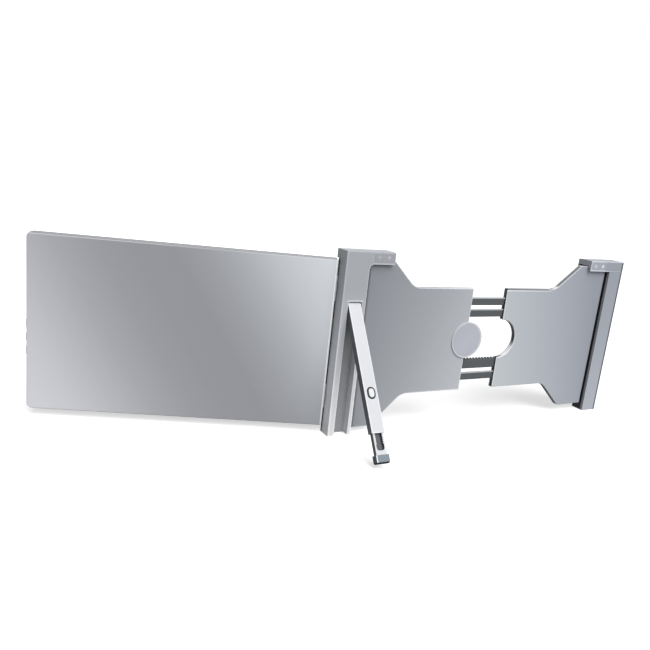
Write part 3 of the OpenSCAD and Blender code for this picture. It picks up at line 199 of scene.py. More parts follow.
def satinWithPaintedLight(name, s):
    base = satinAndPaintedLightShared
    mat, tree, shader = freshMaterial(name)
    coords = put(tree, "TexCoord")
    spot, normal = coords.outputs["Object"], coords.outputs["Normal"]
    fine, slow = grain(tree, shader, spot, s)
    if "fade" in s:
        # painted light and shade: a run of tones across the whole surface
        colour = ramp(tree, along(tree, spot, *s["fade"]), s["stops"])
    else:
        colour = ramp(tree, slow, [(place, dimmed(s["colour"], k))
                                   for place, k in zip(base["driftSpan"], base["drift"])])
    for lightZone in s.get("paintedLightZones", []):
        # painted light and shade: a masked zone, such as a recess or an edge line, takes its own run of tones
        shade = ramp(tree, along(tree, spot, *lightZone["run"]), lightZone["stops"],
                     lightZone.get("ease", "LINEAR"))
        if "side" in lightZone:
            shade = mixColour(tree, pointing(tree, normal, (-1, 0, 0), *base["sideTurn"]), shade,
                              scaled(tree, shade, lightZone["side"]))
        colour = mixColour(tree, inside(tree, spot, lightZone["planes"]), colour, shade)
    face = s.get("face", (0, -1, 0))
    for wall in s.get("walls", []):
        # painted light and shade: cut sides take their tone from the way they point round the Y axis
        parts = put(tree, "SeparateXYZ", {"Vector": normal})
        angle = put(tree, "Math", {0: parts.outputs["Z"], 1: parts.outputs["X"]}, operation="ARCTAN2")
        turn = put(tree, "MapRange", {"Value": angle.outputs["Value"], "From Min": -math.pi,
                                      "From Max": math.pi})
        side = ramp(tree, turn.outputs["Result"], [(d / 360 + 0.5, c) for d, c in wall["stops"]])
        isWall = pointing(tree, normal, face, *base["wallTurn"])
        if "planes" in wall:
            isWall = product(tree, isWall, inside(tree, spot, wall["planes"]))
        colour = mixColour(tree, isWall, colour, side)
    onFront = pointing(tree, normal, face, *base["frontTurn"]) if "edges" in s else None
    for edge in s.get("edges", []):
        # painted highlight and shade lines along the edges of the front, where a rounded normal leans over:
        # lighter where lift is above 1, darker where it is below
        soft = put(tree, "Bevel", {"Radius": edge["reach"] * mm}, samples=base["bevelSamples"])
        soft = put(tree, "VectorTransform", {"Vector": soft.outputs["Normal"]}, vector_type="NORMAL",
                   convert_from="WORLD", convert_to="OBJECT").outputs["Vector"]
        if "towards" in edge:
            leaning = pointing(tree, soft, edge["towards"], *base["leanTurn"])
        else:
            leaning = pointing(tree, soft, face, *base["softTurn"])
        colour = mixColour(tree, product(tree, leaning, onFront), colour,
                           scaled(tree, colour, edge["lift"]))
    if "ring" in s:
        # a paler crescent along the rim of the disc
        flat = put(tree, "VectorMath", {0: spot, 1: (1, 0, 1)}, operation="MULTIPLY")
        middle = [c * mm for c in s["ring"]["middle"]]
        reach = put(tree, "VectorMath", {0: flat.outputs["Vector"], 1: middle}, operation="DISTANCE")
        onRing = put(tree, "MapRange", {"Value": reach.outputs["Value"],
                                        "From Min": (s["ring"]["from"] - base["rimStep"]) * mm,
                                        "From Max": s["ring"]["from"] * mm}).outputs["Result"]
        colour = mixColour(tree, onRing, colour, s["ring"]["colour"])
    low, high = base["span"]
    speck = ramp(tree, fine, [(low, grey(1 - s.get("speck", base["speck"]))), (high, grey(1))])
    colour = mixColour(tree, 1.0, colour, speck, "MULTIPLY")
    tree.links.new(colour, shader.inputs["Base Color"])
    shader.inputs["Metallic"].default_value = s.get("metal", 0.0)
    shader.inputs["Specular IOR Level"].default_value = base["specular"]
    return mat


def dress(mat, *names):
    for n in names:
        slots = nodes[n].material_slots
        if not slots:
            nodes[n].data.materials.append(mat)
        for slot in slots:
            slot.material = mat


# columns and arms

leftLow = extent("left_column_shell")[0]
rightLow, rightHigh = extent("right_column_shell")
capTop = extent("right_arm_cap")[1].z
legLow, legHigh = extent("kickstand_outer_leg")
screenTop = extent("screen_back_cover")[1].z

# thin, middling and soft steps of the painted lines, in mm
thin, middling, soft = 0.1, 0.3, 0.4
# where the painted highlight and shade lines and the painted shade in recesses lie, counted from the edges of
# the solids
columnLines = {"side": 0.5, "channel": 1.1, "border": 2.7, "outer": 3.8, "rim": 0.8,
               "behind": 2.8, "aboveScreen": 0.9, "behindFade": 1.0}
channelTop = legHigh.z + columnLines["channel"]
borderTop = legHigh.z + columnLines["border"]
leftSide = under(xAxis, leftLow.x + columnLines["side"])
outerShadeLine = over(xAxis, rightHigh.x - columnLines["outer"], soft)
upTheColumn = (zAxis, -107, 100)
outerEdgeShade = between(tone(96, 98, 104), tone(80, 82, 88))
columnGrain = {"grain": 2600.0, "bump": 0.25, "roughness": (0.42, 0.52)}
inlayGrain = {"grain": 900.0, "stretch": (0.08, 1, 1.6), "bump": 0.3, "roughness": (0.34, 0.42),
              "metal": 0.3}

columnFinishAndPaintedLight = {
    "left": {
        # painted light: the face is painted palest at its foot and darker towards the top
        "fade": (zAxis, -107, 60),
        "stops": [(0.0, tone(246, 247, 249)), (0.35, tone(226, 228, 232)), (0.7, tone(188, 191, 196)),
                  (1.0, tone(165, 168, 173))],
        "paintedLightZones": [
            # painted shade: the channel of the kickstand is painted darker than the face, paler towards +X
            # and the foot against the leg's shadow, with its -X wall painted paler still
            {"planes": [over(xAxis, legLow.x - columnLines["channel"]),
                        under(xAxis, legHigh.x + columnLines["channel"]),
                        over(yAxis, leftLow.y + thin), under(zAxis, channelTop + thin)],
             "run": ((2.6, 0, -0.35), -470, -368), "side": 2.2,
             "stops": [(0.0, tone(128, 129, 132)), (0.5, tone(148, 149, 152)), (1.0, tone(176, 177, 180))]},
            # painted highlight: a pale border above it, where the edge of the channel catches the light
            {"planes": [over(xAxis, legLow.x - columnLines["border"], soft),
                        under(xAxis, legHigh.x + columnLines["border"], soft),
                        under(yAxis, leftLow.y + middling), under(zAxis, borderTop + middling, soft),
                        over(zAxis, channelTop - thin, thin)],
             "run": (zAxis, 40, 60), "stops": between(tone(198, 201, 205), tone(194, 197, 201))},
            # painted shade: the outer side is painted darker, palest at its foot, and nearly black where the
            # display meets it, as the shade in the gap
            {"planes": [leftSide], "run": upTheColumn,
             "stops": [(0.0, tone(222, 223, 226)), (0.35, tone(206, 208, 213)), (0.7, tone(172, 175, 180)),
                       (1.0, tone(148, 152, 158))]},
            {"planes": [leftSide, over(yAxis, columnLines["behind"], columnLines["behindFade"]),
                        under(zAxis, screenTop + columnLines["aboveScreen"], columnLines["behindFade"])],
             "run": upTheColumn, "stops": between(tone(60, 60, 63), tone(46, 47, 50))},
        ],
        # painted highlight along every edge of the front
        "edges": [{"reach": 1.9, "lift": 1.36}],
        **columnGrain,
    },
    "right": {
        # painted light: the face is painted palest at its foot and darker towards the top
        "fade": (zAxis, -107, 80),
        "stops": [(0.0, tone(174, 178, 187)), (0.5, tone(162, 167, 176)), (1.0, tone(151, 156, 166))],
        "paintedLightZones": [
            # painted shade: the wall of the slot between plate and column is painted grey, and nearly black
            # deeper in, where the gap lies in shade
            {"planes": [under(xAxis, rightLow.x + columnLines["side"])], "run": (yAxis, -11.5, -6.5),
             "ease": "EASE",
             "stops": [(0.0, tone(126, 128, 133)), (0.66, tone(150, 152, 157)), (0.82, tone(26, 27, 30)),
                       (1.0, tone(24, 25, 28))]},
            # painted shade: a dark line along the outer edge, where its rounding turns away from the light
            {"planes": [outerShadeLine], "run": upTheColumn, "stops": outerEdgeShade},
        ],
        # painted highlight along the edges that lean towards -X
        "edges": [{"reach": 1.9, "lift": 1.15, "towards": (-1, 0, 0)}],
        **columnGrain,
    },
    "cap": {
        # painted light: the cap is painted slightly darker towards +X, with painted highlights along its top
        # and bottom edges and a painted dark line along its outer edge
        "fade": (xAxis, 180, 250),
        "stops": between(tone(158, 162, 170), tone(148, 153, 163)),
        "edges": [{"reach": 1.5, "lift": 2.9, "towards": (0, 0, 1)},
                  {"reach": 1.3, "lift": 1.9, "towards": (0, 0, -1)}],
        "paintedLightZones": [{"planes": [outerShadeLine, under(zAxis, capTop - columnLines["rim"], middling)],
                     "run": upTheColumn, "stops": outerEdgeShade}],
        **columnGrain,
    },
    "inlayLeft": {
        "colour": tone(157, 159, 165), **inlayGrain,
    },
    "inlayRight": {
        "colour": tone(164, 169, 178), **inlayGrain,
        # painted highlight along the edges that lean towards -X
        "edges": [{"reach": 1.6, "lift": 2.6, "towards": (-1, 0, 0)}],
    },
}
# the two columns, and the two inlays, are one paint each, painted in two sets of tones for the light and
# shade on each side
dress(satinWithPaintedLight("columnPaintLeft", columnFinishAndPaintedLight["left"]), "left_column_shell", "left_column_cover")
dress(satinWithPaintedLight("columnPaintRight", columnFinishAndPaintedLight["right"]), "right_column_shell", "right_column_cover")
dress(satinWithPaintedLight("armCapPaint", columnFinishAndPaintedLight["cap"]), "right_arm_cap")
dress(satinWithPaintedLight("armInlayLeft", columnFinishAndPaintedLight["inlayLeft"]), "left_arm_plate")
dress(satinWithPaintedLight("armInlayRight", columnFinishAndPaintedLight["inlayRight"]), "right_arm_plate")
print("columns painted")

# sliding plates

plateEnd = extent("left_plate_cover")[0].x
plateShade = {"wide": 5.4, "fade": 3.4}
# the lines under the long top edge of the right plate fade out where the edge begins to rise
plateLines = {"top": 64.0, "pale": 3.1, "dark": 1.7, "end": 132, "endFade": 12}
lineEnd = under(xAxis, plateLines["end"], plateLines["endFade"])
plateGrain = {"grain": 2200.0, "bump": 0.2, "roughness": (0.4, 0.5)}
notch = {"end": 84, "endFade": 2, "half": 27, "halfFade": 0.6}

plateFinishAndPaintedLight = {
    "left": {
        # painted light: the face is painted darker near the column and paler towards its right end and its
        # foot
        "fade": ((1, 0, -0.32), -165, 20),
        "stops": [(0.0, tone(137, 140, 146)), (0.5, tone(160, 163, 168)), (1.0, tone(186, 189, 194))],
        # soft shade beside the column
        "paintedLightZones": [{"planes": [under(xAxis, plateEnd + plateShade["wide"], plateShade["fade"])],
                     "run": upTheColumn,
                     "stops": between(tone(76, 78, 82), tone(58, 60, 64))}],
        # painted highlight along every edge of the front
        "edges": [{"reach": 1.9, "lift": 1.7}],
        **plateGrain,
    },
    "right": {
        # painted light: the face is painted palest at its left end and darker towards +X and the top
        "fade": ((1, 0, 0.24), 45, 220),
        "stops": [(0.0, tone(191, 196, 200)), (0.5, tone(172, 177, 186)), (1.0, tone(148, 152, 162))],
        # painted highlight along the edges that lean up and towards -X
        "edges": [{"reach": 1.6, "lift": 1.45, "towards": (-0.7, 0, 0.7)}],
        **plateGrain,
        # painted highlight and shade along the long top edge: a pale line with a darker bevel above it
        "paintedLightZones": [{"planes": [over(zAxis, plateLines["top"] - plateLines["pale"], middling), lineEnd],
                     "run": (xAxis, 53, 150),
                     "stops": between(tone(232, 235, 238), tone(206, 209, 215))},
                    {"planes": [over(zAxis, plateLines["top"] - plateLines["dark"], middling), lineEnd],
                     "run": (xAxis, 53, 150),
                     "stops": between(tone(96, 98, 104), tone(112, 114, 120))}],
        # painted light and shade on the cut sides, set by the way they point; degrees count from +X towards
        # +Z
        "walls": [
            {"stops": [(-180, tone(22, 23, 26)), (-95, tone(38, 39, 42)), (-60, tone(120, 122, 126)),
                       (0, tone(150, 153, 158)), (60, tone(160, 163, 168)), (88, tone(118, 121, 127)),
                       (100, tone(150, 152, 157)), (110, tone(238, 238, 240)), (120, tone(226, 227, 229)),
                       (127, tone(128, 130, 134)), (135, tone(118, 120, 124)), (155, tone(60, 62, 66)),
                       (180, tone(22, 23, 26))]},
            # the round notch, with a painted highlight where its wall faces up and towards -X
            {"planes": [under(xAxis, notch["end"], notch["endFade"]),
                        over(zAxis, -notch["half"], notch["halfFade"]),
                        under(zAxis, notch["half"], notch["halfFade"])],
             "stops": [(-180, tone(20, 20, 23)), (-95, tone(34, 35, 38)), (0, tone(120, 122, 126)),
                       (95, tone(84, 86, 90)), (106, tone(160, 161, 164)), (118, tone(240, 240, 241)),
                       (152, tone(244, 244, 245)), (164, tone(150, 151, 153)), (174, tone(34, 35, 38)),
                       (180, tone(20, 20, 23))]},
        ],
    },
    "badge": {
        "colour": tone(180, 182, 192), "grain": 3200.0, "bump": 0.3, "roughness": (0.38, 0.46), "metal": 0.25,
        "ring": {"middle": (-0.8, 0, 0.1), "from": 20.7, "colour": tone(206, 208, 212)},
    },
    "badgeTrim": {
        "colour": tone(206, 208, 211), "grain": 1800.0, "bump": 0.15, "roughness": (0.3, 0.4), "metal": 0.1,
    },
    "sheet": {
        "colour": tone(150, 152, 157), "grain": 1200.0, "stretch": (0.05, 1, 1), "bump": 0.3,
        "roughness": (0.3, 0.42), "metal": 0.8,
    },
}
# the left and right plates are one paint, painted in two sets of tones for the light and shade on each side
dress(satinWithPaintedLight("platePaintLeft", plateFinishAndPaintedLight["left"]), "left_plate_cover")
dress(satinWithPaintedLight("platePaintRight", plateFinishAndPaintedLight["right"]), "right_plate_cover")
dress(satinWithPaintedLight("badgeDisc", plateFinishAndPaintedLight["badge"]), "badge_disc")
dress(satinWithPaintedLight("badgeTrim", plateFinishAndPaintedLight["badgeTrim"]), "badge_ring")
dress(satinWithPaintedLight("baseSheet", plateFinishAndPaintedLight["sheet"]), "left_plate_base", "right_plate_base")
print("plates painted")

# rails, pinion and the small metal pieces

# the painted highlight line on the three plain rails: how high it lies on each, and how far it reaches from
# there
railHighlight = {"heights": (52.4, 37.8, -42.8), "below": 1.5, "above": 0.2}

railFinishAndPaintedLight = {
    "coat": {
        "colour": tone(77, 81, 84), "grain": 2400.0, "bump": 0.2, "roughness": (0.36, 0.46),
        "paintedLightZones": [{"planes": [over(zAxis, height - railHighlight["below"], middling),
                                under(zAxis, height + railHighlight["above"], thin)],
                     "run": (zAxis, -60, 60),
                     "stops": between(tone(176, 180, 183), tone(186, 190, 193))}
                    for height in railHighlight["heights"]],
        # painted shade along the bottom edges, and cut sides painted pale facing up and dark facing down
        "edges": [{"reach": 1.6, "lift": 0.5, "towards": (0, 0, -1)}],
        "walls": [{"stops": [(-180, tone(70, 73, 76)), (-90, tone(40, 42, 44)), (0, tone(70, 73, 76)),
                             (45, tone(140, 143, 146)), (70, tone(172, 175, 178)), (110, tone(172, 175, 178)),
                             (135, tone(140, 143, 146)), (180, tone(70, 73, 76))]}],
    },
    "steel": {
        "colour": tone(168, 170, 173), "grain": 1500.0, "stretch": (1, 1, 0.06), "bump": 0.25,
        "roughness": (0.24, 0.36), "metal": 0.9,
    },
    "brass": {
        "colour": tone(196, 164, 96), "grain": 1500.0, "stretch": (1, 0.1, 1), "bump": 0.25,
        "roughness": (0.24, 0.36), "metal": 0.9,
    },
    "guide": {
        "colour": tone(42, 43, 46), "grain": 1400.0, "bump": 0.3, "roughness": (0.45, 0.6),
    },
}
dress(satinWithPaintedLight("railCoat", railFinishAndPaintedLight["coat"]), "upper_outer_rail", "lower_outer_rail", "upper_inner_rail",
      "rack_rail")
dress(satinWithPaintedLight("turnedSteel", railFinishAndPaintedLight["steel"]), "pinion_axle", "kickstand_pin", "column_hinge_leaves",
      "screen_hinge_leaves", "hinge_pins", "left_base_screws", "right_base_screws", "left_rail_screws",
      "right_rail_screws", "column_leaf_screws", "screen_leaf_screws", "drag_pinion", "latch_leaf_spring",
      "latch_pawl")
dress(satinWithPaintedLight("washerBrass", railFinishAndPaintedLight["brass"]), "brake_washer", "kickstand_washers")
dress(satinWithPaintedLight("guidePlastic", railFinishAndPaintedLight["guide"]), "left_rail_guides", "right_rail_guides")
print("rails coated")

# silicone pads

siliconeFinish = {"colour": tone(52, 53, 56), "ribs": 1.6, "grain": 1100.0, "roughness": (0.6, 0.8)}
# what the pads and the sole share; ribScale turns a spacing into the wave's scale
siliconeBase = {"ribScale": 0.31, "wobble": 0.4, "detail": 5.0, "span": (0.3, 0.7), "strength": 0.5,
                "depth": 0.2, "valleyShade": 0.7, "specular": 0.25}


def silicone(name, s):
    base = siliconeBase
    mat, tree, shader = freshMaterial(name)
    spot = put(tree, "TexCoord").outputs["Object"]
    bars = put(tree, "TexWave", {"Vector": spot, "Scale": base["ribScale"] / (s["ribs"] * mm),
                                 "Distortion": base["wobble"]}, bands_direction="Z")
    dust = put(tree, "TexNoise", {"Vector": spot, "Scale": s["grain"], "Detail": base["detail"]})
    both = put(tree, "Math", {0: bars.outputs["Fac"], 1: dust.outputs["Fac"]}, operation="ADD")
    relief = put(tree, "Bump", {"Height": both.outputs["Value"], "Strength": base["strength"],
                                "Distance": base["depth"] * mm})
    tree.links.new(relief.outputs["Normal"], shader.inputs["Normal"])
    dull = spread(tree, dust.outputs["Fac"], base["span"], *s["roughness"])
    tree.links.new(dull, shader.inputs["Roughness"])
    # painted shade: the rib valleys are painted darker
    ribValleyShade = ramp(tree, bars.outputs["Fac"], [(0.0, dimmed(s["colour"], base["valleyShade"])), (1.0, s["colour"])])
    tree.links.new(ribValleyShade, shader.inputs["Base Color"])
    shader.inputs["Specular IOR Level"].default_value = base["specular"]
    return mat


dress(silicone("padSilicone", siliconeFinish), "left_hook_pad", "right_hook_pad", "left_side_pad",
      "right_side_pad", "left_lid_pads", "right_lid_pads")
print("pads done")

# display

screenTurn = math.radians(21.2)
panelRight = (-math.cos(screenTurn), math.sin(screenTurn), 0.0)    # from the hinge to the free edge
panelBack = (-math.sin(screenTurn), -math.cos(screenTurn), 0.0)
hingePivot = Vector((-180.6, 7.3, 0.0))
hingeEdge = 172.2       # the panel's edge at the hinge, along panelRight
screenLines = {"pale": 2.7, "dark": 1.5, "hinge": 2.0}
sheen = {"across": 0.909, "down": 0.553}       # its slant over the back
sheenWay = (sheen["across"] * panelRight[0], sheen["across"] * panelRight[1], -sheen["down"])

screenFinishAndPaintedLight = {
    "shell": {
        # painted sheen: a soft diagonal band of painted reflection, dark in the middle
        "fade": (sheenWay, 105, 495),
        "stops": [(0.0, tone(220, 224, 229)), (0.09, tone(208, 211, 216)), (0.17, tone(194, 197, 202)),
                  (0.24, tone(176, 179, 184)), (0.33, tone(159, 161, 166)), (0.41, tone(150, 151, 156)),
                  (0.51, tone(151, 152, 157)), (0.6, tone(157, 158, 163)), (0.7, tone(170, 171, 176)),
                  (0.82, tone(191, 192, 197)), (0.9, tone(204, 205, 210)), (1.0, tone(214, 215, 220))],
        "face": panelBack,
        "paintedLightZones": [
            # painted highlight and shade: a light and a dark line along the top, and a bright painted
            # highlight along the hinge side
            {"planes": [over(zAxis, screenTop - screenLines["pale"], soft)], "run": (panelRight, 172, 494),
             "stops": [(0.0, tone(232, 234, 238)), (0.4, tone(188, 189, 194)), (1.0, tone(206, 207, 212))]},
            {"planes": [over(zAxis, screenTop - screenLines["dark"], soft)], "run": (panelRight, 172, 494),
             "stops": between(tone(150, 152, 156), tone(146, 148, 152))},
            {"planes": [under(panelRight, hingeEdge + screenLines["hinge"], soft)], "run": (zAxis, -98, 93),
             "stops": between(tone(247, 248, 250), tone(252, 253, 254))},
        ],
        # painted light and shade on the cut sides: the top painted dark, the hinge side painted near white
        "walls": [{"stops": [(-180, tone(168, 169, 173)), (0, tone(250, 251, 253)), (60, tone(112, 114, 118)),
                             (120, tone(112, 114, 118)), (180, tone(168, 169, 173))]}],
        "grain": 3000.0, "bump": 0.2, "roughness": (0.36, 0.44), "metal": 0.1,
    },
    "bezel": {"colour": tone(34, 34, 37), "grain": 1500.0, "bump": 0.35, "roughness": (0.5, 0.62)},
    "film": {"colour": tone(60, 61, 64), "grain": 600.0, "bump": 0.1, "roughness": (0.25, 0.35)},
    "socket": {"colour": tone(150, 152, 156), "grain": 1600.0, "bump": 0.15, "roughness": (0.25, 0.35),
               "metal": 0.9},
    "key": {"colour": tone(176, 178, 183), "grain": 2600.0, "bump": 0.2, "roughness": (0.36, 0.44),
            "metal": 0.3},
}
dress(satinWithPaintedLight("screenShell", screenFinishAndPaintedLight["shell"]), "screen_back_cover")
dress(satinWithPaintedLight("bezelGrain", screenFinishAndPaintedLight["bezel"]), "screen_bezel")
dress(satinWithPaintedLight("panelFilm", screenFinishAndPaintedLight["film"]), "lcd_module")
dress(satinWithPaintedLight("socketShell", screenFinishAndPaintedLight["socket"]), "usb_c_sockets", "mini_hdmi_socket", "button_switches")
dress(satinWithPaintedLight("keyCap", screenFinishAndPaintedLight["key"]), "power_button", "menu_up_button", "menu_down_button")

# the picture's limits are counted from the hinge's pivot, across and up
glassFinish = {
    "picture": tone(24, 26, 31), "mask": tone(7, 7, 9),
    "left": 7.25, "right": 316.6, "low": -86.9, "high": 87.1, "edge": 0.4,
    "smear": 14.0, "detail": 6.0, "swirl": 1.5, "span": (0.35, 0.7), "roughness": (0.05, 0.13),
    "bump": 0.05, "depth": 0.1, "specular": 0.5,
}


def coverGlass(name, s):
    mat, tree, shader = freshMaterial(name)
    spot = put(tree, "TexCoord").outputs["Object"]
    pivot = hingePivot.dot(Vector(panelRight))
    window = inside(tree, spot, [
        over(panelRight, s["left"] + pivot, s["edge"]), under(panelRight, s["right"] + pivot, s["edge"]),
        over(zAxis, s["low"], s["edge"]), under(zAxis, s["high"], s["edge"])])
    tree.links.new(mixColour(tree, window, s["mask"], s["picture"]), shader.inputs["Base Color"])
    smear = put(tree, "TexNoise", {"Vector": spot, "Scale": s["smear"], "Detail": s["detail"],
                                   "Distortion": s["swirl"]})
    gloss = spread(tree, smear.outputs["Fac"], s["span"], *s["roughness"])
    tree.links.new(gloss, shader.inputs["Roughness"])
    relief = put(tree, "Bump", {"Height": smear.outputs["Fac"], "Strength": s["bump"],
                                "Distance": s["depth"] * mm})
    tree.links.new(relief.outputs["Normal"], shader.inputs["Normal"])
    shader.inputs["Specular IOR Level"].default_value = s["specular"]
    return mat


dress(coverGlass("coverGlass", glassFinish), "screen_glass")

boardFinish = {"mask": tone(22, 70, 48), "track": tone(38, 104, 72), "scale": 225.0, "bump": 0.3,
               "depth": 0.05, "roughness": 0.3}


def circuitBoard(name, s):
    mat, tree, shader = freshMaterial(name)
    spot = put(tree, "TexCoord").outputs["Object"]
    tracks = put(tree, "TexBrick", {"Vector": spot, "Scale": s["scale"], "Color1": s["mask"],
                                    "Color2": s["track"], "Mortar": s["track"]})
    tree.links.new(tracks.outputs["Color"], shader.inputs["Base Color"])
    relief = put(tree, "Bump", {"Height": tracks.outputs["Fac"], "Strength": s["bump"],
                                "Distance": s["depth"] * mm})
    tree.links.new(relief.outputs["Normal"], shader.inputs["Normal"])
    shader.inputs["Roughness"].default_value = s["roughness"]
    return mat


dress(circuitBoard("driverBoard", boardFinish), "driver_board")
print("display finished")

# kickstand

legTurn = math.radians(33.5)
legFace = (0.0, -math.cos(legTurn), math.sin(legTurn))
slotFloor = {"place": 32.2, "fade": 0.6}       # along legFace, under the teeth of the inner leg

legFinishAndPaintedLight = {
    "outer": {
        "colour": tone(199, 200, 204), "grain": 1900.0, "bump": 0.25, "roughness": (0.36, 0.46),
        # painted highlight along the front edges; cut sides painted dark facing -X and pale facing up
        "speck": 0.05, "face": legFace, "edges": [{"reach": 1.7, "lift": 1.35}],
        "walls": [{"stops": [(-180, tone(72, 73, 76)), (-120, tone(72, 73, 76)), (-60, tone(120, 121, 124)),
                             (0, tone(150, 151, 154)), (60, tone(200, 201, 204)), (120, tone(200, 201, 204)),
                             (150, tone(72, 73, 76)), (180, tone(72, 73, 76))]}],
    },
    "inner": {
        "colour": tone(204, 205, 209), "grain": 1900.0, "bump": 0.25, "roughness": (0.3, 0.4),
        "face": legFace,
        # painted shade: the floor of the toothed slot is painted dark
        "paintedLightZones": [{"planes": [under(legFace, slotFloor["place"], slotFloor["fade"])],
                     "run": (legFace, 28, 34),
                     "stops": between(tone(66, 68, 72), tone(78, 81, 85))}],
        # painted light and shade: cut sides painted dark facing -X and paler facing up
        "walls": [{"stops": [(-180, tone(36, 37, 40)), (-120, tone(36, 37, 40)), (0, tone(70, 71, 74)),
                             (60, tone(120, 121, 124)), (120, tone(120, 121, 124)), (150, tone(36, 37, 40)),
                             (180, tone(36, 37, 40))]}],
    },
    "ring": {"colour": tone(24, 25, 28), "grain": 2000.0, "bump": 0.15, "roughness": (0.3, 0.4)},
    # painted shade: the sides of the button are painted near black
    "button": {"colour": tone(210, 211, 215), "grain": 1900.0, "bump": 0.2, "roughness": (0.3, 0.4),
               "face": legFace, "walls": [{"stops": [(-180, tone(24, 25, 28)), (180, tone(24, 25, 28))]}]},
    # painted highlight along the edges that lean towards -X; cut sides painted dark, palest facing +X
    "foot": {"colour": tone(117, 125, 133), "grain": 1500.0, "bump": 0.25, "roughness": (0.42, 0.52),
             "face": legFace, "edges": [{"reach": 2.0, "lift": 4.4, "towards": (-1, 0, 0)}],
             "walls": [{"stops": [(-180, tone(40, 41, 44)), (-120, tone(40, 41, 44)), (0, tone(80, 84, 90)),
                                  (60, tone(44, 46, 50)), (120, tone(44, 46, 50)), (150, tone(40, 41, 44)),
                                  (180, tone(40, 41, 44))]}]},
    "sole": {"colour": tone(40, 41, 44), "ribs": 0.9, "grain": 1300.0, "roughness": (0.6, 0.75)},
}
dress(satinWithPaintedLight("legOuter", legFinishAndPaintedLight["outer"]), "kickstand_outer_leg")
dress(satinWithPaintedLight("legInner", legFinishAndPaintedLight["inner"]), "kickstand_inner_leg")
dress(satinWithPaintedLight("buttonRing", legFinishAndPaintedLight["ring"]), "button_ring")
dress(satinWithPaintedLight("buttonCap", legFinishAndPaintedLight["button"]), "release_button")
dress(satinWithPaintedLight("footPlastic", legFinishAndPaintedLight["foot"]), "kickstand_foot")
dress(silicone("footSole", legFinishAndPaintedLight["sole"]), "foot_sole")


def settle(bm, name, mat, body):
    # turns a finished bmesh into a piece of the part
    bmesh.ops.recalc_face_normals(bm, faces=bm.faces)
    mesh = bpy.data.meshes.new(name)
    bm.to_mesh(mesh)
    bm.free()
    mesh.materials.append(mat)
    made = bpy.data.objects.new(name, mesh)
    scene.collection.objects.link(made)
    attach(made, body)


def bridge(bm, a, b):
    # a belt of faces between two loops with as many corners
    for k in range(len(a)):
        m = (k + 1) % len(a)
        bm.faces.new((a[k], a[m], b[m], b[k]))


def legBand(name, s, mat, body):
    # a flat upright band with round ends, laid on the face of the leg
    across = Vector(xAxis)
    down = Vector((0, -math.sin(legTurn), -math.cos(legTurn)))
    middle = Vector(s["pivot"]) + down * s["down"] + Vector(legFace) * s["rise"]
    bm = bmesh.new()
    loops = []
    for width, length in (s["outer"], s["inner"]):
        for lift in (0.0, s["thick"]):
            loop = []
            for k in range(s["steps"]):
                a = math.tau * k / s["steps"]
                straight = (length - width) / 2 * (1 if math.cos(a) > 0 else -1)
                spot = across * (width / 2 * math.sin(a)) + down * (width / 2 * math.cos(a) + straight)
                loop.append(bm.verts.new((middle + spot + Vector(legFace) * lift) * mm))
            loops.append(loop)
    low, high, lowIn, highIn = loops
    for a, b in ((low, high), (high, highIn), (highIn, lowIn), (lowIn, low)):
        bridge(bm, a, b)
    settle(bm, name, mat, body)


# widths and lengths are the band's own, its place is counted down the leg from the pivot
bandSettings = {"pivot": (-165.0, -6.9, 43.2), "down": 99.0, "rise": 4.3, "thick": 0.12, "steps": 48,
                "inner": (9.2, 12.4), "outer": (10.2, 13.4)}
legBand("buttonSeal", bandSettings, satinWithPaintedLight("buttonSeal", legFinishAndPaintedLight["ring"]), "kickstand")
print("kickstand finished")

# printed marks on the arms, two small diamonds each

markSettings = {
    "pinch": 0.66, "thick": 0.08, "face": -11.5, "hollow": 0.5, "cover": 0.02,
    "left": {"places": [(-140.8, 97.8), (-128.5, 97.8)], "size": 4.8, "ink": tone(186, 188, 193)},
    "right": {"places": [(193.6, 96.5), (207.0, 96.5)], "size": 5.8, "ink": tone(214, 216, 220)},
    "finish": {"grain": 1500.0, "bump": 0.15, "roughness": (0.35, 0.45)},
}


def prism(name, outline, y0, y1, mat, body):
    # a flat outline of (x, z) points in mm, given depth along Y
    bm = bmesh.new()
    near, far = [[bm.verts.new((x * mm, y * mm, z * mm)) for x, z in outline] for y in (y0, y1)]
    bm.faces.new(near)
    bm.faces.new(far)
    bridge(bm, near, far)
    settle(bm, name, mat, body)


def diamond(x, z, size, pinch):
    # four tips, with the sides drawn in between them
    corners = 8
    points = []
    for k in range(corners):
        d = size / 2 * (pinch if k % 2 else 1)
        a = math.radians(360 / corners * k)
        points.append((x + d * math.cos(a), z + d * math.sin(a)))
    return points


for side, inlay in (("left", "inlayLeft"), ("right", "inlayRight")):
    s = markSettings[side]
    ink = satinWithPaintedLight(side + "MarkInk", dict(markSettings["finish"], colour=s["ink"]))
    ground = satinWithPaintedLight(side + "MarkGround", dict(markSettings["finish"], colour=columnFinishAndPaintedLight[inlay]["colour"]))
    face, thick = markSettings["face"], markSettings["thick"]
    for i, (x, z) in enumerate(s["places"]):
        name = side + "ArmMark" + str(i + 1)
        prism(name, diamond(x, z, s["size"], markSettings["pinch"]), face, face - thick, ink,
              side + "_bracket")
        if i == 0:
            # the first one is an outline only
            prism(name + "Ground", diamond(x, z, s["size"] * markSettings["hollow"], markSettings["pinch"]),
                  face - thick, face - thick - markSettings["cover"], ground, side + "_bracket")
print("arm marks placed")

# studio with a pale floor, a broad soft key from above the front and an even fill

# lengths are in metres, keySpread is in degrees
studioSettings = {
    "fill": 0.4, "key": 3.05, "keyFrom": (0.08, -0.64, 0.77), "keySpread": 55.0,
    "floorSize": 8.0, "floorGap": 0.0004, "floorColour": 0.86, "floorGlow": 0.42, "floorBounce": 0.3,
    "floorRoughness": 0.9,
}


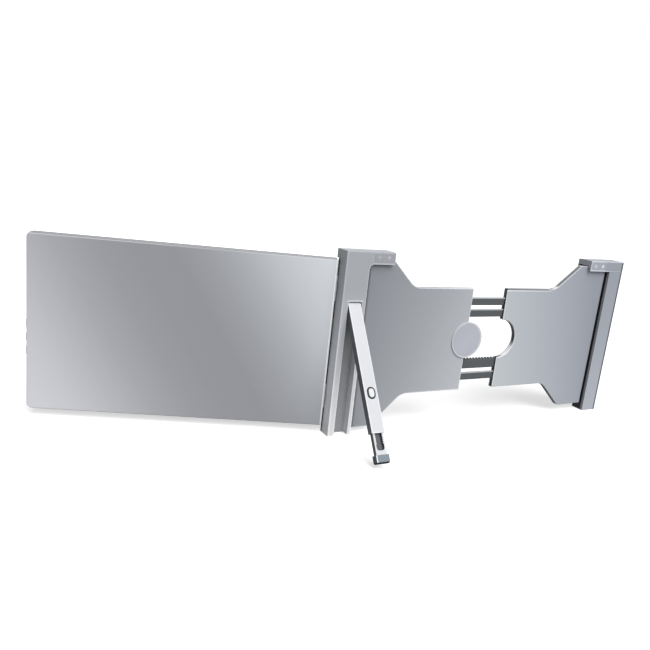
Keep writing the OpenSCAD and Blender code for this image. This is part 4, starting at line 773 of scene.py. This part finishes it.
def buildWorld(s):
    world = bpy.data.worlds.new("studio")
    scene.world = world
    world.use_nodes = True
    tree = world.node_tree
    backdrop = tree.nodes["Background"]
    path = put(tree, "LightPath")
    seen = put(tree, "Math", {0: path.outputs["Is Camera Ray"], 1: path.outputs["Is Glossy Ray"]},
               operation="MAXIMUM")
    seen = put(tree, "Math", {0: seen.outputs["Value"], 1: path.outputs["Is Transmission Ray"]},
               operation="MAXIMUM")
    level = put(tree, "MapRange", {"Value": seen.outputs["Value"], "To Min": s["fill"], "To Max": 1.0})
    backdrop.inputs["Color"].default_value = (1, 1, 1, 1)
    tree.links.new(level.outputs["Result"], backdrop.inputs["Strength"])


def buildLamp(s):
    data = bpy.data.lights.new("keyLamp", "SUN")
    data.energy = s["key"]
    data.angle = math.radians(s["keySpread"])
    lamp = bpy.data.objects.new("keyLamp", data)
    lamp.rotation_mode = "QUATERNION"
    lamp.rotation_quaternion = Vector(s["keyFrom"]).to_track_quat("Z", "Y")
    scene.collection.objects.link(lamp)


def buildFloor(s):
    half = s["floorSize"] / 2
    level = cadBox[0].z - s["floorGap"]
    mesh = bpy.data.meshes.new("floor")
    mesh.from_pydata([(-half, -half, level), (half, -half, level), (half, half, level), (-half, half, level)],
                     [], [(0, 1, 2, 3)])
    floor = bpy.data.objects.new("floor", mesh)
    scene.collection.objects.link(floor)
    mat, tree, shader = freshMaterial("paleFloor")
    path = put(tree, "LightPath")
    dim = mixColour(tree, path.outputs["Is Diffuse Ray"], grey(s["floorColour"]), grey(s["floorBounce"]))
    tree.links.new(dim, shader.inputs["Base Color"])
    shader.inputs["Roughness"].default_value = s["floorRoughness"]
    shader.inputs["Specular IOR Level"].default_value = 0.0
    glow = put(tree, "MapRange", {"Value": path.outputs["Is Camera Ray"], "To Min": 0.0,
                                  "To Max": s["floorGlow"]})
    shader.inputs["Emission Color"].default_value = (1, 1, 1, 1)
    tree.links.new(glow.outputs["Result"], shader.inputs["Emission Strength"])
    mesh.materials.append(mat)


buildWorld(studioSettings)
buildLamp(studioSettings)
buildFloor(studioSettings)
print("studio lit")

# camera at the height and side the object was photographed from

# place, lens and sensor are in mm, near and far in metres
cameraSettings = {
    "place": (-524.8, -620.6, 186.0),
    "right": (0.88847, -0.44738, 0.10232),
    "up": (0.01494, 0.25104, 0.96786),
    "forward": (0.45869, 0.85838, -0.22973),
    "lens": 36.734, "sensor": 36.0, "near": 0.01, "far": 20.0,
}


def placeCamera(s):
    data = bpy.data.cameras.new("viewCamera")
    data.sensor_width = s["sensor"]
    data.lens = s["lens"]
    data.clip_start = s["near"]
    data.clip_end = s["far"]
    cam = bpy.data.objects.new("viewCamera", data)
    scene.collection.objects.link(cam)
    turn = Matrix((Vector(s["right"]), Vector(s["up"]), -Vector(s["forward"]))).transposed().to_4x4()
    cam.matrix_world = Matrix.Translation(Vector(s["place"]) * mm) @ turn
    scene.camera = cam


placeCamera(cameraSettings)
print("camera placed")
